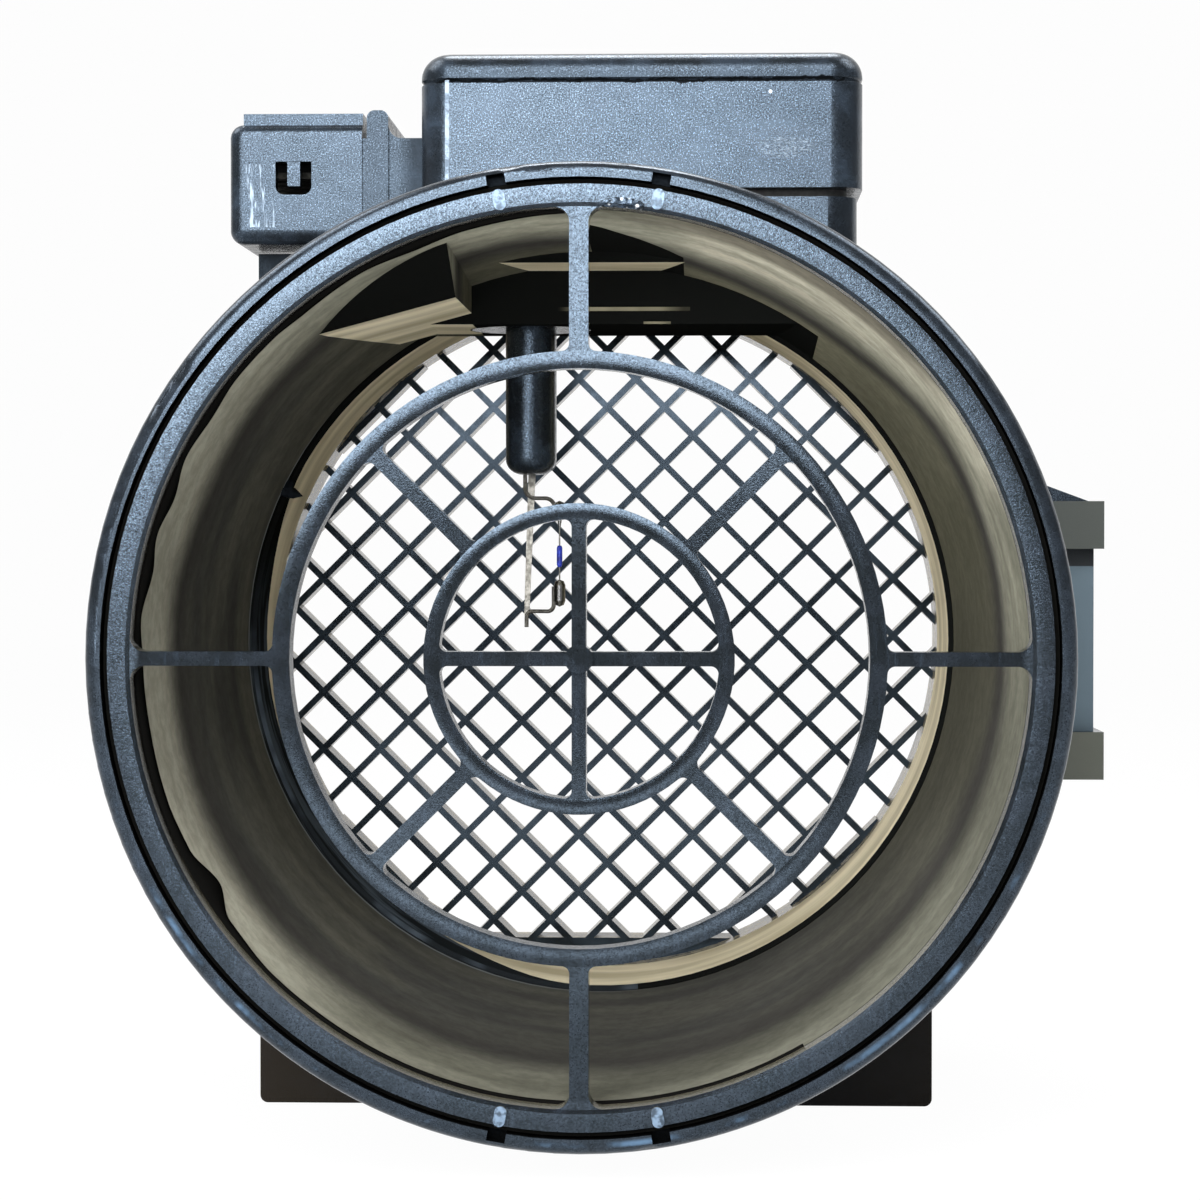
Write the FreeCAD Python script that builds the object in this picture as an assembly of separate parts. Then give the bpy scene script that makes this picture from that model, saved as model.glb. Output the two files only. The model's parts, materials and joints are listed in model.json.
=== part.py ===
import FreeCAD, Part
import math
import os

# Mass airflow sensor: a moulded duct with an electronics case on top and a probe hanging into the air stream.
# Millimetres. Y is the duct axis, from the hose end at y = 0 to the air filter end.
# +Z is up, +X is to the right when looking into the hose end. The origin is the centre of the hose-end face.

Vec = FreeCAD.Vector
AXIS_Y = Vec(0, 1, 0)
EPS = 0.01
wire_sides = 8

# Duct, outside
duct_length = 86.0
hose_radius = 45.0
hose_land = 24.0
rim_round = 1.2
stop_ridge_height = 2.0
stop_ridge_width = 2.0
stop_ridge_slope = 1.8
body_wall = 1.6
flange_height = 3.4
flange_thickness = 4.0
spigot_length = 22.0
spigot_wall = 4.8
spigot_chamfer = 1.2
seal_groove_inset = 7.0
seal_groove_width = 4.0
seal_groove_depth = 1.7
seal_proud = 0.7

# Duct, inside
rim_wall = 1.5
guard_seat_step = 2.5
guard_seat_depth = 3.6
break_gap = 1.0
break_draw = 0.8
throat_entry_draw = 2.7
throat_draw = 3.2
throat_lead = 1.0
screen_seat_inset = 10.0
screen_seat_step = 1.5

# Guard at the hose end
guard_clearance = 0.1
guard_recess = 0.4
guard_groove_gap = 0.6
guard_groove_depth = 1.3
guard_overlap = 0.1
guard_ring_chamfer = 0.35
guard_web_depth = 2.6
spoke_bite = 0.5
mid_ring_share = 0.682
mid_ring_width = 1.6
inner_ring_share = 0.345
inner_ring_width = 1.4
upright_spoke_width = 1.75
level_spoke_width = 1.3
diagonal_spoke_width = 1.4
cross_width = 1.3
hub_radius = 1.3
hub_proud = 0.3
outer_root_fillet = 1.3
inner_root_fillet = 0.7
pip_angle = 9.8
pip_inset = 1.15
pip_length = 1.9
pip_width = 1.1
pip_proud = 0.3
notch_width = 1.7
notch_height = 0.9
notch_depth = 1.9

# Diamond screen at the air filter end
screen_clearance = 0.1
screen_end_inset = 2.0
screen_lattice_depth = 5.0
screen_pitch = 4.66
screen_strand_front = 0.74
screen_strand_back = 0.62
screen_flat_share = 0.926

# Steps and wedge moulded into the roof of the duct
step_one_inset = 3.0
step_one_rise = 0.4
step_two_inset = 12.2
step_two_drop = 4.6
step_inset = 0.7
wedge_lead = 3.0
wedge_end_gap = 5.0
wedge_side_x = -12.8
wedge_corner_drop = 3.45
wedge_slope = 0.268
wedge_rake_length = 10.0
wedge_rake_rise = 4.2

# Pedestal on the duct
pedestal_left = -16.5
pedestal_right = 26.5
pedestal_length = 37.0
pedestal_overhang = 2.0
pedestal_rise = 2.3
pedestal_corner = 3.0
pocket_wall = 4.0
roof_thickness = 3.0
screw_boss_radius = 3.4

# Foot
foot_half_width = 34.7
foot_length = 30.0
foot_overhang = 6.0
foot_drop = 4.8
foot_corner = 0.8
foot_wall = 2.6
foot_rib = 2.2
foot_pocket_columns = 6
foot_pocket_rows = 3

# Clip catches at both sides
catch_length = 9.5
catch_inset = 0.5
catch_right_proud = 8.8
catch_left_proud = 7.5
catch_lug_inner = 10.0
catch_lug_outer = 15.2
catch_plate_setback = 0.9
catch_plate_inset = 2.0
catch_plate_width = 5.0
gusset_inset = 1.7
gusset_rise = 2.9
gusset_run = 7.8
gusset_thickness = 2.5

# Web below the connector
web_inset = 1.9
web_setback = 3.0
web_thickness = 3.0
web_gap = 0.3
relief_margin = 0.6
web_height = 19.0

# Electronics case
case_overhang = 1.0
case_side_overhang = 0.5
case_corner = 3.2
case_wall = 2.2
case_floor = 2.0
gasket_thickness = 0.8
gasket_inset = 1.0
gasket_width = 2.0
case_height = 10.7
case_rib_inset = 2.6
case_rib_width = 0.4
case_rib_proud = 0.15
collar_radius = 6.3
collar_clearance = 0.2
joint_groove = 0.25

# Lid
lid_height = 2.9
lid_round = 2.5
lid_thickness = 1.6
lid_skirt_depth = 1.4
lid_skirt_wall = 1.0
lid_clearance = 0.15

# Connector
connector_reach = 20.5
connector_length = 13.7
connector_drop = 4.4
connector_height = 12.3
connector_depth = 22.0
connector_shift = 1.0
connector_corner = 1.4
connector_wall = 1.8
connector_cavity_depth = 12.0
key_height = 1.1
key_start_inset = 1.4
key_front_inset = 1.0
key_width = 5.0
collar_gap = 0.5
collar_width = 2.2
collar_rise = 1.3
neck_top_drop = 1.5
neck_bottom_rise = 2.0
neck_fillet = 1.3
collar_round = 0.8
groove_inset = 0.5
latch_inset = 6.65
latch_width = 3.7
latch_drop = 3.9
latch_height = 3.4
latch_round = 0.9
latch_tongue_width = 1.3
latch_tongue_drop = 2.5
latch_tongue_setback = 0.2

# Terminals
terminal_count = 5
terminal_pitch = 3.5
terminal_width = 1.5
terminal_thickness = 0.64
terminal_rise_above_floor = 0.6
terminal_tip_gap = 2.6
terminal_tail = 1.8

# Probe post and prongs
post_inset = 9.88
post_setback = 21.0
post_width = 5.24
post_depth = 8.0
post_drop = 15.3
post_round = 1.6
prong_top_above_floor = 1.1

short_prong_radius = 0.22
short_prong_offset = -0.56
short_prong_ahead = 1.6
short_prong_bend = 1.1
short_prong_drop = 2.55
short_prong_reach = 3.1
short_prong_end_drop = 1.45

long_prong_behind = 1.2
long_prong_thickness = 0.35
long_prong_root_width = 0.75
long_prong_tip_offset = -0.56
long_prong_tip_width = 0.55
long_prong_length = 15.0

# Sensing element and its welds
element_offset = 3.02
element_ahead = 0.4
element_radius = 0.3
element_drop = 7.5
element_length = 2.4
lead_radius = 0.08
upper_weld_radius = 0.75
upper_weld_inset = 0.25
upper_weld_length = 3.0
lower_weld_radius = 0.62
lower_weld_length = 2.9
lower_weld_gap = 1.25
tail_radius = 0.22
tail_drop = 0.5
tail_bend = 0.7
tail_tip_drop = 2.2
tail_overlap = 0.75

# Compensating bead in a window at the back of the post
window_width = 2.8
window_rise = 5.1
window_height = 6.0
window_depth = 2.6
bead_radius = 0.7
bead_length = 2.6
bead_lead_radius = 0.15

# Circuit in the case
plate_thickness = 1.5
plate_margin = 1.6
plate_window_width = 4.4
plate_window_length = 8.0
board_thickness = 0.8
board_post_gap = 0.2
board_right_gap = 10.4
board_margin = 4.2
board_pad_inset = 0.6
part_edge_gap = 1.0
chip_side = 7.0
chip_height = 1.4
chip_inset = 3.0
transistor_width = 6.5
transistor_length = 6.0
transistor_height = 2.2
capacitor_count = 3
capacitor_length = 3.2
capacitor_width = 1.6
capacitor_height = 1.3
capacitor_spacing = 4.0
ribbon_width = 0.5
ribbon_thickness = 0.12
ribbon_rise = 1.0

# Screws that hold the case to the pedestal
screw_side_inset = 6.6
screw_plate_inset = 3.0
screw_radius = 1.45
screw_clearance = 0.25
screw_length = 9.0
screw_head_radius = 2.7
screw_head_height = 1.9
screw_socket_radius = 1.3
screw_socket_depth = 1.1

# Radii that follow from the hose end
guard_seat_radius = hose_radius - rim_wall
mouth_radius = guard_seat_radius - guard_seat_step
body_radius = mouth_radius + body_wall
break_radius = mouth_radius - break_draw
throat_entry_radius = mouth_radius - throat_entry_draw
throat_radius = mouth_radius - throat_draw
spigot_radius = throat_radius + spigot_wall
screen_seat_radius = throat_radius + screen_seat_step
flange_radius = body_radius + flange_height
guard_ring_inner = mouth_radius - guard_overlap
mid_ring_outer = mid_ring_share * guard_ring_inner
mid_ring_inner = mid_ring_outer - mid_ring_width
inner_ring_outer = inner_ring_share * guard_ring_inner
inner_ring_inner = inner_ring_outer - inner_ring_width
pip_radius_at = guard_ring_inner + pip_inset
screen_ring_inner = throat_radius
screen_flat_height = screen_flat_share * throat_radius

# Stations along the duct
break_depth = hose_land + break_gap
flange_start = duct_length - spigot_length - flange_thickness
throat_start = flange_start - throat_lead
seal_groove_start = duct_length - seal_groove_inset - seal_groove_width
screen_seat_start = duct_length - screen_seat_inset
pedestal_back = flange_start + flange_thickness + pedestal_overhang
pedestal_front = pedestal_back - pedestal_length
step_one_start = pedestal_front + step_one_inset
step_two_start = pedestal_front + step_two_inset
wedge_start = hose_land - wedge_lead
wedge_end = throat_start - wedge_end_gap
foot_back = flange_start + flange_thickness + foot_overhang
foot_front = foot_back - foot_length
catch_front = flange_start + catch_inset
catch_back = catch_front + catch_length
post_y = pedestal_front + post_setback
post_front = post_y - post_depth / 2

# Levels
pedestal_top = body_radius + pedestal_rise
foot_bottom = -body_radius - foot_drop
step_one_height = throat_entry_radius + step_one_rise
step_two_height = throat_radius - step_two_drop
step_half_width = math.sqrt(body_radius ** 2 - step_two_height ** 2) - step_inset
wedge_corner_height = throat_radius - wedge_corner_drop
case_bottom = pedestal_top + gasket_thickness
case_top = case_bottom + case_height
floor_top = case_bottom + case_floor
plate_top = floor_top + plate_thickness
board_top = plate_top + board_thickness

# Case and connector, placed from the pedestal
case_left = pedestal_left - case_side_overhang
case_right = pedestal_right + case_side_overhang
case_front = pedestal_front - case_overhang
case_back = pedestal_back + case_overhang
connector_left = case_left - connector_reach
connector_back_x = connector_left + connector_length
connector_bottom = case_bottom - connector_drop
connector_top = connector_bottom + connector_height
connector_mid_y = post_y - connector_shift
connector_front = connector_mid_y - connector_depth / 2
connector_back = connector_mid_y + connector_depth / 2
collar_left = connector_back_x + collar_gap
collar_right = collar_left + collar_width
latch_centre_x = connector_left + latch_inset
latch_top = connector_top - latch_drop
web_left = connector_left + web_inset
web_front = connector_mid_y - web_setback
terminal_bottom = floor_top + terminal_rise_above_floor
terminal_top = terminal_bottom + terminal_thickness
terminal_end_x = case_left + case_wall + terminal_tail

# Probe, placed from the post
post_x = case_left + post_inset
post_bottom = step_two_height - post_drop
prong_top = floor_top + prong_top_above_floor
short_prong_x = post_x + short_prong_offset
short_prong_y = post_y - short_prong_ahead
short_prong_level = post_bottom - short_prong_drop
short_prong_end = short_prong_level - short_prong_end_drop
long_prong_y = post_y + long_prong_behind
long_prong_tip_x = post_x + long_prong_tip_offset
long_prong_tip = post_bottom - long_prong_length
element_x = post_x + element_offset
element_y = post_y - element_ahead
element_top = post_bottom - element_drop
element_bottom = element_top - element_length
upper_weld_top = short_prong_level - upper_weld_inset
upper_weld_bottom = upper_weld_top - upper_weld_length
lower_weld_top = element_bottom - lower_weld_gap
lower_weld_bottom = lower_weld_top - lower_weld_length
tail_level = lower_weld_bottom - tail_drop
tail_tip = tail_level - tail_tip_drop
tail_top = lower_weld_top - tail_overlap
window_bottom = post_bottom + window_rise

# Circuit, placed from the case
board_left = post_x + post_width / 2 + board_post_gap
board_right = case_right - board_right_gap
board_front = case_front + case_wall + plate_margin + board_margin
board_back = case_back - case_wall - plate_margin - board_margin
screw_end_inset = case_wall + plate_margin + screw_plate_inset
screw_places = (
    (case_left + screw_side_inset, case_front + screw_end_inset),
    (case_right - screw_side_inset, case_back - screw_end_inset),
)


def box(x0, x1, y0, y1, z0, z1):
    return Part.makeBox(x1 - x0, y1 - y0, z1 - z0, Vec(x0, y0, z0))


def cylinder_y(radius, y0, y1, x=0.0, z=0.0):
    return Part.makeCylinder(radius, y1 - y0, Vec(x, y0, z), AXIS_Y)


def cylinder_z(radius, x, y, z0, z1):
    return Part.makeCylinder(radius, z1 - z0, Vec(x, y, z0))


def turned(profile):
    """Solid of revolution about the duct axis, from a closed outline of (y, radius) points."""
    points = [Vec(radius, y, 0) for y, radius in profile]
    face = Part.Face(Part.makePolygon(points + points[:1]))
    return face.revolve(Vec(0, 0, 0), AXIS_Y, 360)


def plate_xz(points, y0, y1):
    """Flat piece with its outline in X and Z, from y0 to y1."""
    corners = [Vec(x, y0, z) for x, z in points]
    face = Part.Face(Part.makePolygon(corners + corners[:1]))
    return face.extrude(Vec(0, y1 - y0, 0))


def union(shapes):
    shapes = list(shapes)
    return shapes[0].fuse(shapes[1:]).removeSplitter()


def direction_of(edge):
    step = edge.Vertexes[-1].Point - edge.Vertexes[0].Point
    return step.normalize() if step.Length > EPS else step


def edges_along(shape, axis):
    """Straight edges of a shape that run along an axis."""
    found = []
    for edge in shape.Edges:
        if edge.Curve.TypeId == "Part::GeomLine" and abs(direction_of(edge).dot(axis)) > 1 - EPS:
            found.append(edge)
    return found


def rounded_prism(x0, x1, y0, y1, z0, z1, corner):
    """Block with rounded upright corners."""
    block = box(x0, x1, y0, y1, z0, z1)
    return block.makeFillet(corner, edges_along(block, Vec(0, 0, 1)))


def edges_at_height(shape, z):
    """Edges that lie wholly in a level plane."""
    return [e for e in shape.Edges if abs(e.BoundBox.ZMin - z) < EPS and abs(e.BoundBox.ZMax - z) < EPS]


def wire_section(radius, centre, along, side):
    """Eight-sided section of a fine wire, square to its run."""
    across = along.cross(side).normalize()
    points = []
    for step in range(wire_sides):
        angle = 2 * math.pi * (step + 0.5) / wire_sides
        points.append(centre + side * (radius * math.cos(angle)) + across * (radius * math.sin(angle)))
    return Part.Face(Part.makePolygon(points + points[:1]))


def round_wire(points, radius, bend):
    """Fine wire: straight runs joined by tangent arcs of one bend radius, all in one upright plane."""
    side = (points[1] - points[0]).cross(points[2] - points[1]).normalize()
    pieces = []
    start = points[0]
    for before, corner, after in zip(points, points[1:], points[2:]):
        arrive = (corner - before).normalize()
        leave = (after - corner).normalize()
        half_turn = arrive.getAngle(leave) / 2
        trim = bend * math.tan(half_turn)
        arc_start = corner - arrive * trim
        centre = corner + (leave - arrive).normalize() * (bend / math.cos(half_turn))
        pieces.append(wire_section(radius, start, arrive, side).extrude(arc_start - start))
        elbow = wire_section(radius, arc_start, arrive, side)
        pieces.append(elbow.revolve(centre, arrive.cross(leave), math.degrees(2 * half_turn)))
        start = corner + leave * trim
    last = points[-1] - start
    pieces.append(wire_section(radius, start, last.normalize(), side).extrude(last))
    return union(pieces)


def around_axis(shape, degrees):
    turned_copy = shape.copy()
    turned_copy.rotate(Vec(0, 0, 0), AXIS_Y, degrees)
    return turned_copy


# Duct housing

def duct_outside():
    ridge_end = hose_land + stop_ridge_width
    flange_end = flange_start + flange_thickness
    groove_end = seal_groove_start + seal_groove_width
    profile = [
        (0, 0),
        (0, hose_radius),
        (hose_land, hose_radius),
        (hose_land, hose_radius + stop_ridge_height),
        (ridge_end, hose_radius + stop_ridge_height),
        (ridge_end + stop_ridge_slope, body_radius),
        (flange_start, body_radius),
        (flange_start, flange_radius),
        (flange_end, flange_radius),
        (flange_end, spigot_radius),
        (seal_groove_start, spigot_radius),
        (seal_groove_start, spigot_radius - seal_groove_depth),
        (groove_end, spigot_radius - seal_groove_depth),
        (groove_end, spigot_radius),
        (duct_length - spigot_chamfer, spigot_radius),
        (duct_length, spigot_radius - spigot_chamfer),
        (duct_length, 0),
    ]
    solid = turned(profile)
    rim = [e for e in solid.Edges if abs(e.BoundBox.YMax) < EPS and e.BoundBox.XLength > hose_radius]
    return solid.makeFillet(rim_round, rim)


def duct_bore():
    profile = [
        (-1, 0),
        (-1, guard_seat_radius),
        (guard_seat_depth, guard_seat_radius),
        (guard_seat_depth, mouth_radius),
        (break_depth, break_radius),
        (throat_start, throat_entry_radius),
        (throat_start, throat_radius),
        (screen_seat_start, throat_radius),
        (screen_seat_start, screen_seat_radius),
        (duct_length + 1, screen_seat_radius),
        (duct_length + 1, 0),
    ]
    return turned(profile)


def rim_notches():
    notch = box(-notch_width / 2, notch_width / 2, -1, notch_depth,
                guard_seat_radius - 1, guard_seat_radius + notch_height)
    return [around_axis(notch, side + tilt) for side in (0, 180) for tilt in (-pip_angle, pip_angle)]


def pedestal():
    return rounded_prism(pedestal_left, pedestal_right, pedestal_front, pedestal_back,
                         0, pedestal_top, pedestal_corner)


def pedestal_pocket():
    """The hollow of the pedestal, with a floor that follows the two roof steps."""
    left = pedestal_left + pocket_wall
    right = pedestal_right - pocket_wall
    front = pedestal_front + pocket_wall
    back = pedestal_back - pocket_wall
    shallow = box(left, right, front, back, step_one_height + roof_thickness, pedestal_top + 1)
    deep = box(left, right, step_two_start + roof_thickness, throat_start - roof_thickness,
               step_two_height + roof_thickness, pedestal_top + 1)
    hollow = union([shallow, deep])
    for x, y in screw_places:
        hollow = hollow.cut(cylinder_z(screw_boss_radius, x, y, 0, pedestal_top + 1))
    return hollow


def roof_steps():
    """Two flat steps across the roof of the duct, below the electronics."""
    reach = step_half_width
    first = box(-reach, reach, step_one_start, step_two_start, step_one_height, body_radius)
    second = box(-reach, reach, step_two_start, throat_start, step_two_height, body_radius)
    return union([first, second]).common(cylinder_y(body_radius - EPS, 0, duct_length))


def side_wedge():
    """Wedge at the left of the steps, with a raked front and a sloping underside."""
    rake_start = wedge_start - wedge_rake_length
    outline = [
        (wedge_start, wedge_corner_height),
        (rake_start, wedge_corner_height + wedge_rake_rise),
        (rake_start, body_radius),
        (wedge_end, body_radius),
        (wedge_end, wedge_corner_height),
    ]
    corners = [Vec(wedge_side_x, y, z) for y, z in outline]
    reach = wedge_side_x + body_radius
    block = Part.Face(Part.makePolygon(corners + corners[:1])).extrude(Vec(-reach, 0, -reach * wedge_slope))
    return block.common(cylinder_y(body_radius - EPS, 0, duct_length))


def foot():
    block = box(-foot_half_width, foot_half_width, foot_front, foot_back, foot_bottom, 0)
    lower = [e for e in edges_along(block, AXIS_Y) if e.CenterOfMass.z < foot_bottom + EPS]
    return block.makeFillet(foot_corner, lower)


def foot_pockets():
    """Pockets that core out the foot from below up to the duct, with ribs between them."""
    span = 2 * (foot_half_width - foot_wall)
    run = foot_back - foot_front - 2 * foot_wall
    width = (span - (foot_pocket_columns - 1) * foot_rib) / foot_pocket_columns
    depth = (run - (foot_pocket_rows - 1) * foot_rib) / foot_pocket_rows
    pockets = []
    for column in range(foot_pocket_columns):
        x = -foot_half_width + foot_wall + column * (width + foot_rib)
        for row in range(foot_pocket_rows):
            y = foot_front + foot_wall + row * (depth + foot_rib)
            pocket = box(x, x + width, y, y + depth, foot_bottom - 1, 0)
            pockets.append(pocket.cut(cylinder_y(body_radius, foot_front, foot_back)))
    return pockets


def clip_catch(side):
    """Catch for a wire clip at one side: two lugs, a plate between them and a gusset above."""
    pieces = []
    reach = flange_radius + (catch_right_proud if side > 0 else catch_left_proud)
    for level in (-1, 1):
        z0, z1 = sorted((level * catch_lug_inner, level * catch_lug_outer))
        pieces.append(box(0, reach, catch_front, catch_back, z0, z1))
    plate_front = catch_front + catch_plate_inset
    pieces.append(box(0, reach - catch_plate_setback, plate_front, plate_front + catch_plate_width,
                      -catch_lug_inner, catch_lug_inner))
    pieces.append(plate_xz([
        (0, catch_lug_outer - EPS),
        (reach - gusset_inset, catch_lug_outer - EPS),
        (reach - gusset_inset - gusset_run, catch_lug_outer + gusset_rise),
        (0, catch_lug_outer + gusset_rise),
    ], catch_front, catch_front + gusset_thickness))
    catch = union(pieces)
    if side < 0:
        catch = catch.mirror(Vec(0, 0, 0), Vec(1, 0, 0))
    return catch


def connector_web():
    """Thin web that stands on the duct below the connector."""
    outline = [
        (web_left, connector_bottom - web_gap),
        (0, connector_bottom - web_gap),
        (0, connector_bottom - web_height),
        (web_left, connector_bottom - web_height),
    ]
    return plate_xz(outline, web_front, web_front + web_thickness)


def case_relief():
    """Room above the pedestal and beside it, where the case and its connector sit."""
    over = box(case_left - relief_margin, case_right + relief_margin,
               pedestal_front, case_back + relief_margin, pedestal_top, case_top)
    beside = box(connector_left, case_left, connector_front - relief_margin, connector_back + relief_margin,
                 connector_bottom - web_gap, case_top)
    return [over, beside]


def duct_housing():
    solid = union([duct_outside(), pedestal(), foot(), clip_catch(-1), clip_catch(1), connector_web()])
    solid = solid.cut(duct_bore())
    solid = union([solid, roof_steps(), side_wedge()])
    cuts = rim_notches() + foot_pockets() + case_relief() + [pedestal_pocket()]
    cuts.append(cylinder_z(collar_radius + collar_clearance, post_x, post_y, 0, pedestal_top + 1))
    for x, y in screw_places:
        screw_end = plate_top - screw_length
        cuts.append(cylinder_z(screw_radius, x, y, screw_end - 1, pedestal_top + 1))
    return solid.cut(cuts).removeSplitter()


# Guard

def guard_ring():
    seat_outer = guard_seat_radius - guard_clearance
    face_outer = guard_seat_radius - guard_groove_gap
    profile = [
        (guard_recess, guard_ring_inner + guard_ring_chamfer),
        (guard_recess, face_outer),
        (guard_groove_depth, face_outer),
        (guard_groove_depth, seat_outer),
        (guard_seat_depth, seat_outer),
        (guard_seat_depth, guard_ring_inner),
        (guard_recess + guard_ring_chamfer, guard_ring_inner),
    ]
    return turned(profile)


def ring_plate(outer, inner, y0, y1):
    return cylinder_y(outer, y0, y1).cut(cylinder_y(inner, y0 - 1, y1 + 1))


def spoke(width, inner, outer, degrees, y0, y1):
    bar = box(-width / 2, width / 2, y0, y1, inner, outer)
    return around_axis(bar, degrees)


def guard_web(y0, y1):
    """All rings and spokes of the guard as one flat web, with filleted roots."""
    rim = ring_plate(guard_seat_radius - guard_groove_gap, guard_ring_inner, y0, y1)
    middle = ring_plate(mid_ring_outer, mid_ring_inner, y0, y1)
    inner = ring_plate(inner_ring_outer, inner_ring_inner, y0, y1)
    pieces = [rim, middle, inner]
    for degrees in (0, 180):
        pieces.append(spoke(upright_spoke_width, mid_ring_outer - spoke_bite, guard_ring_inner + spoke_bite,
                            degrees, y0, y1))
    for degrees in (90, 270):
        pieces.append(spoke(level_spoke_width, mid_ring_outer - spoke_bite, guard_ring_inner + spoke_bite,
                            degrees, y0, y1))
    for degrees in (45, 135, 225, 315):
        pieces.append(spoke(diagonal_spoke_width, inner_ring_outer - spoke_bite, mid_ring_inner + spoke_bite,
                            degrees, y0, y1))
    for degrees in (0, 90):
        pieces.append(spoke(cross_width, -inner_ring_inner - spoke_bite, inner_ring_inner + spoke_bite,
                            degrees, y0, y1))
    web = union(pieces)
    web = web.makeFillet(outer_root_fillet, roots_between(web, mid_ring_outer + 1, guard_seat_radius))
    return web.makeFillet(inner_root_fillet, roots_between(web, inner_ring_inner - 1, mid_ring_outer + EPS))


def roots_between(web, inner, outer):
    """Corner edges between spokes and rings whose distance from the duct axis lies between two radii."""
    roots = edges_along(web, AXIS_Y)
    return [e for e in roots if inner < math.hypot(e.CenterOfMass.x, e.CenterOfMass.z) < outer]


def guard_pips():
    """Small radial ovals that stand on the ring beside the notches of the rim."""
    half = (pip_length - pip_width) / 2
    y0 = guard_recess - pip_proud
    y1 = guard_recess + EPS
    bar = box(-pip_width / 2, pip_width / 2, y0, y1, pip_radius_at - half, pip_radius_at + half)
    ends = [cylinder_y(pip_width / 2, y0, y1, 0, pip_radius_at + shift) for shift in (-half, half)]
    pip = union([bar] + ends)
    return [around_axis(pip, side + tilt) for side in (0, 180) for tilt in (-pip_angle, pip_angle)]


def outlet_guard():
    web_front_y = guard_recess + guard_ring_chamfer
    web = guard_web(web_front_y, web_front_y + guard_web_depth)
    hub = cylinder_y(hub_radius, web_front_y - hub_proud, web_front_y + guard_web_depth)
    return union([guard_ring(), web, hub] + guard_pips())


# Screen

def lattice_strand(offset, y0, y1, half_length):
    """Upright strand with sides that draw in towards the back."""
    front = screen_strand_front / 2
    back = screen_strand_back / 2
    corners = [
        Vec(offset - front, y0, -half_length),
        Vec(offset + front, y0, -half_length),
        Vec(offset + back, y1, -half_length),
        Vec(offset - back, y1, -half_length),
    ]
    face = Part.Face(Part.makePolygon(corners + corners[:1]))
    return face.extrude(Vec(0, 0, 2 * half_length))


def screen_lattice(y0, y1):
    reach = screen_ring_inner + EPS
    count = int(reach / screen_pitch)
    strands = []
    for index in range(-count, count + 1):
        offset = index * screen_pitch
        half_length = math.sqrt(reach ** 2 - offset ** 2) + screen_strand_front
        strands.append(lattice_strand(offset, y0, y1, half_length))
    leaning_left = [around_axis(strand, -45) for strand in strands]
    leaning_right = [around_axis(strand, 45) for strand in strands]
    lattice = leaning_left[0].fuse(leaning_left[1:] + leaning_right)
    return lattice.common(cylinder_y(reach, y0 - 1, y1 + 1))


def inlet_screen():
    outer = screen_seat_radius - screen_clearance
    end = duct_length - screen_end_inset
    lattice_start = end - screen_lattice_depth
    ring = ring_plate(outer, screen_ring_inner, screen_seat_start, end)
    disc = cylinder_y(screen_ring_inner + EPS, lattice_start, end)
    opening = box(-outer, outer, lattice_start - 1, end + 1, -screen_flat_height, screen_flat_height)
    crescents = disc.cut(opening)
    lattice = screen_lattice(lattice_start, end).common(opening)
    return union([ring, crescents, lattice])


# Electronics case

def stadium_post(z0, z1):
    """Post that is longer along the duct than it is wide, with rounded sides."""
    x0 = post_x - post_width / 2
    x1 = post_x + post_width / 2
    return rounded_prism(x0, x1, post_front, post_front + post_depth, z0, z1, post_width / 2 - EPS)


def probe_post():
    post = stadium_post(post_bottom, case_bottom + EPS)
    return post.makeFillet(post_round, edges_at_height(post, post_bottom))


def connector_shroud():
    """Socket that opens to the left, with a key on top and a collar that runs down to the neck in a curve."""
    shell = box(connector_left, connector_back_x, connector_front, connector_back,
                connector_bottom, connector_top)
    mouth = [e for e in shell.Edges if abs(e.BoundBox.XMax - connector_left) < EPS]
    shell = shell.makeFillet(connector_corner, edges_along(shell, Vec(1, 0, 0)) + mouth)
    key = box(connector_left + key_start_inset, connector_back_x, connector_front + key_front_inset,
              connector_front + key_front_inset + key_width, connector_top - 1, connector_top + key_height)
    neck_top = connector_top - neck_top_drop
    neck = box(connector_back_x - 1, case_left + EPS, connector_front + groove_inset,
               connector_back - groove_inset, connector_bottom + neck_bottom_rise, neck_top)
    collar_top = connector_top + collar_rise
    collar = box(collar_left, collar_right, connector_front, connector_back, connector_bottom, collar_top)
    collar = collar.makeFillet(collar_round, [e for e in edges_along(collar, AXIS_Y)
                                              if e.CenterOfMass.z > collar_top - EPS])
    fillet = box(collar_right - EPS, collar_right + neck_fillet, connector_front + groove_inset,
                 connector_back - groove_inset, neck_top - EPS, neck_top + neck_fillet)
    fillet = fillet.cut(cylinder_y(neck_fillet, connector_front, connector_back,
                                   collar_right + neck_fillet, neck_top + neck_fillet))
    return union([shell, key, neck, collar, fillet])


def connector_cavity():
    cavity = box(connector_left - 1, connector_left + connector_cavity_depth,
                 connector_front + connector_wall, connector_back - connector_wall,
                 connector_bottom + connector_wall, connector_top - connector_wall)
    return cavity.makeFillet(connector_corner / 2, edges_along(cavity, Vec(1, 0, 0)))


def latch_window():
    """U-shaped window in the front wall of the socket, round a latch tongue."""
    y0 = connector_front - 1
    y1 = connector_front + connector_wall + EPS
    x0 = latch_centre_x - latch_width / 2
    window = box(x0, x0 + latch_width, y0, y1, latch_top - latch_height, latch_top)
    lower = [e for e in edges_along(window, AXIS_Y) if e.CenterOfMass.z < latch_top - latch_height / 2]
    window = window.makeFillet(latch_round, lower)
    tongue = box(latch_centre_x - latch_tongue_width / 2, latch_centre_x + latch_tongue_width / 2,
                 connector_front + latch_tongue_setback, y1, latch_top - latch_tongue_drop, latch_top)
    return window.cut(tongue)


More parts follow.
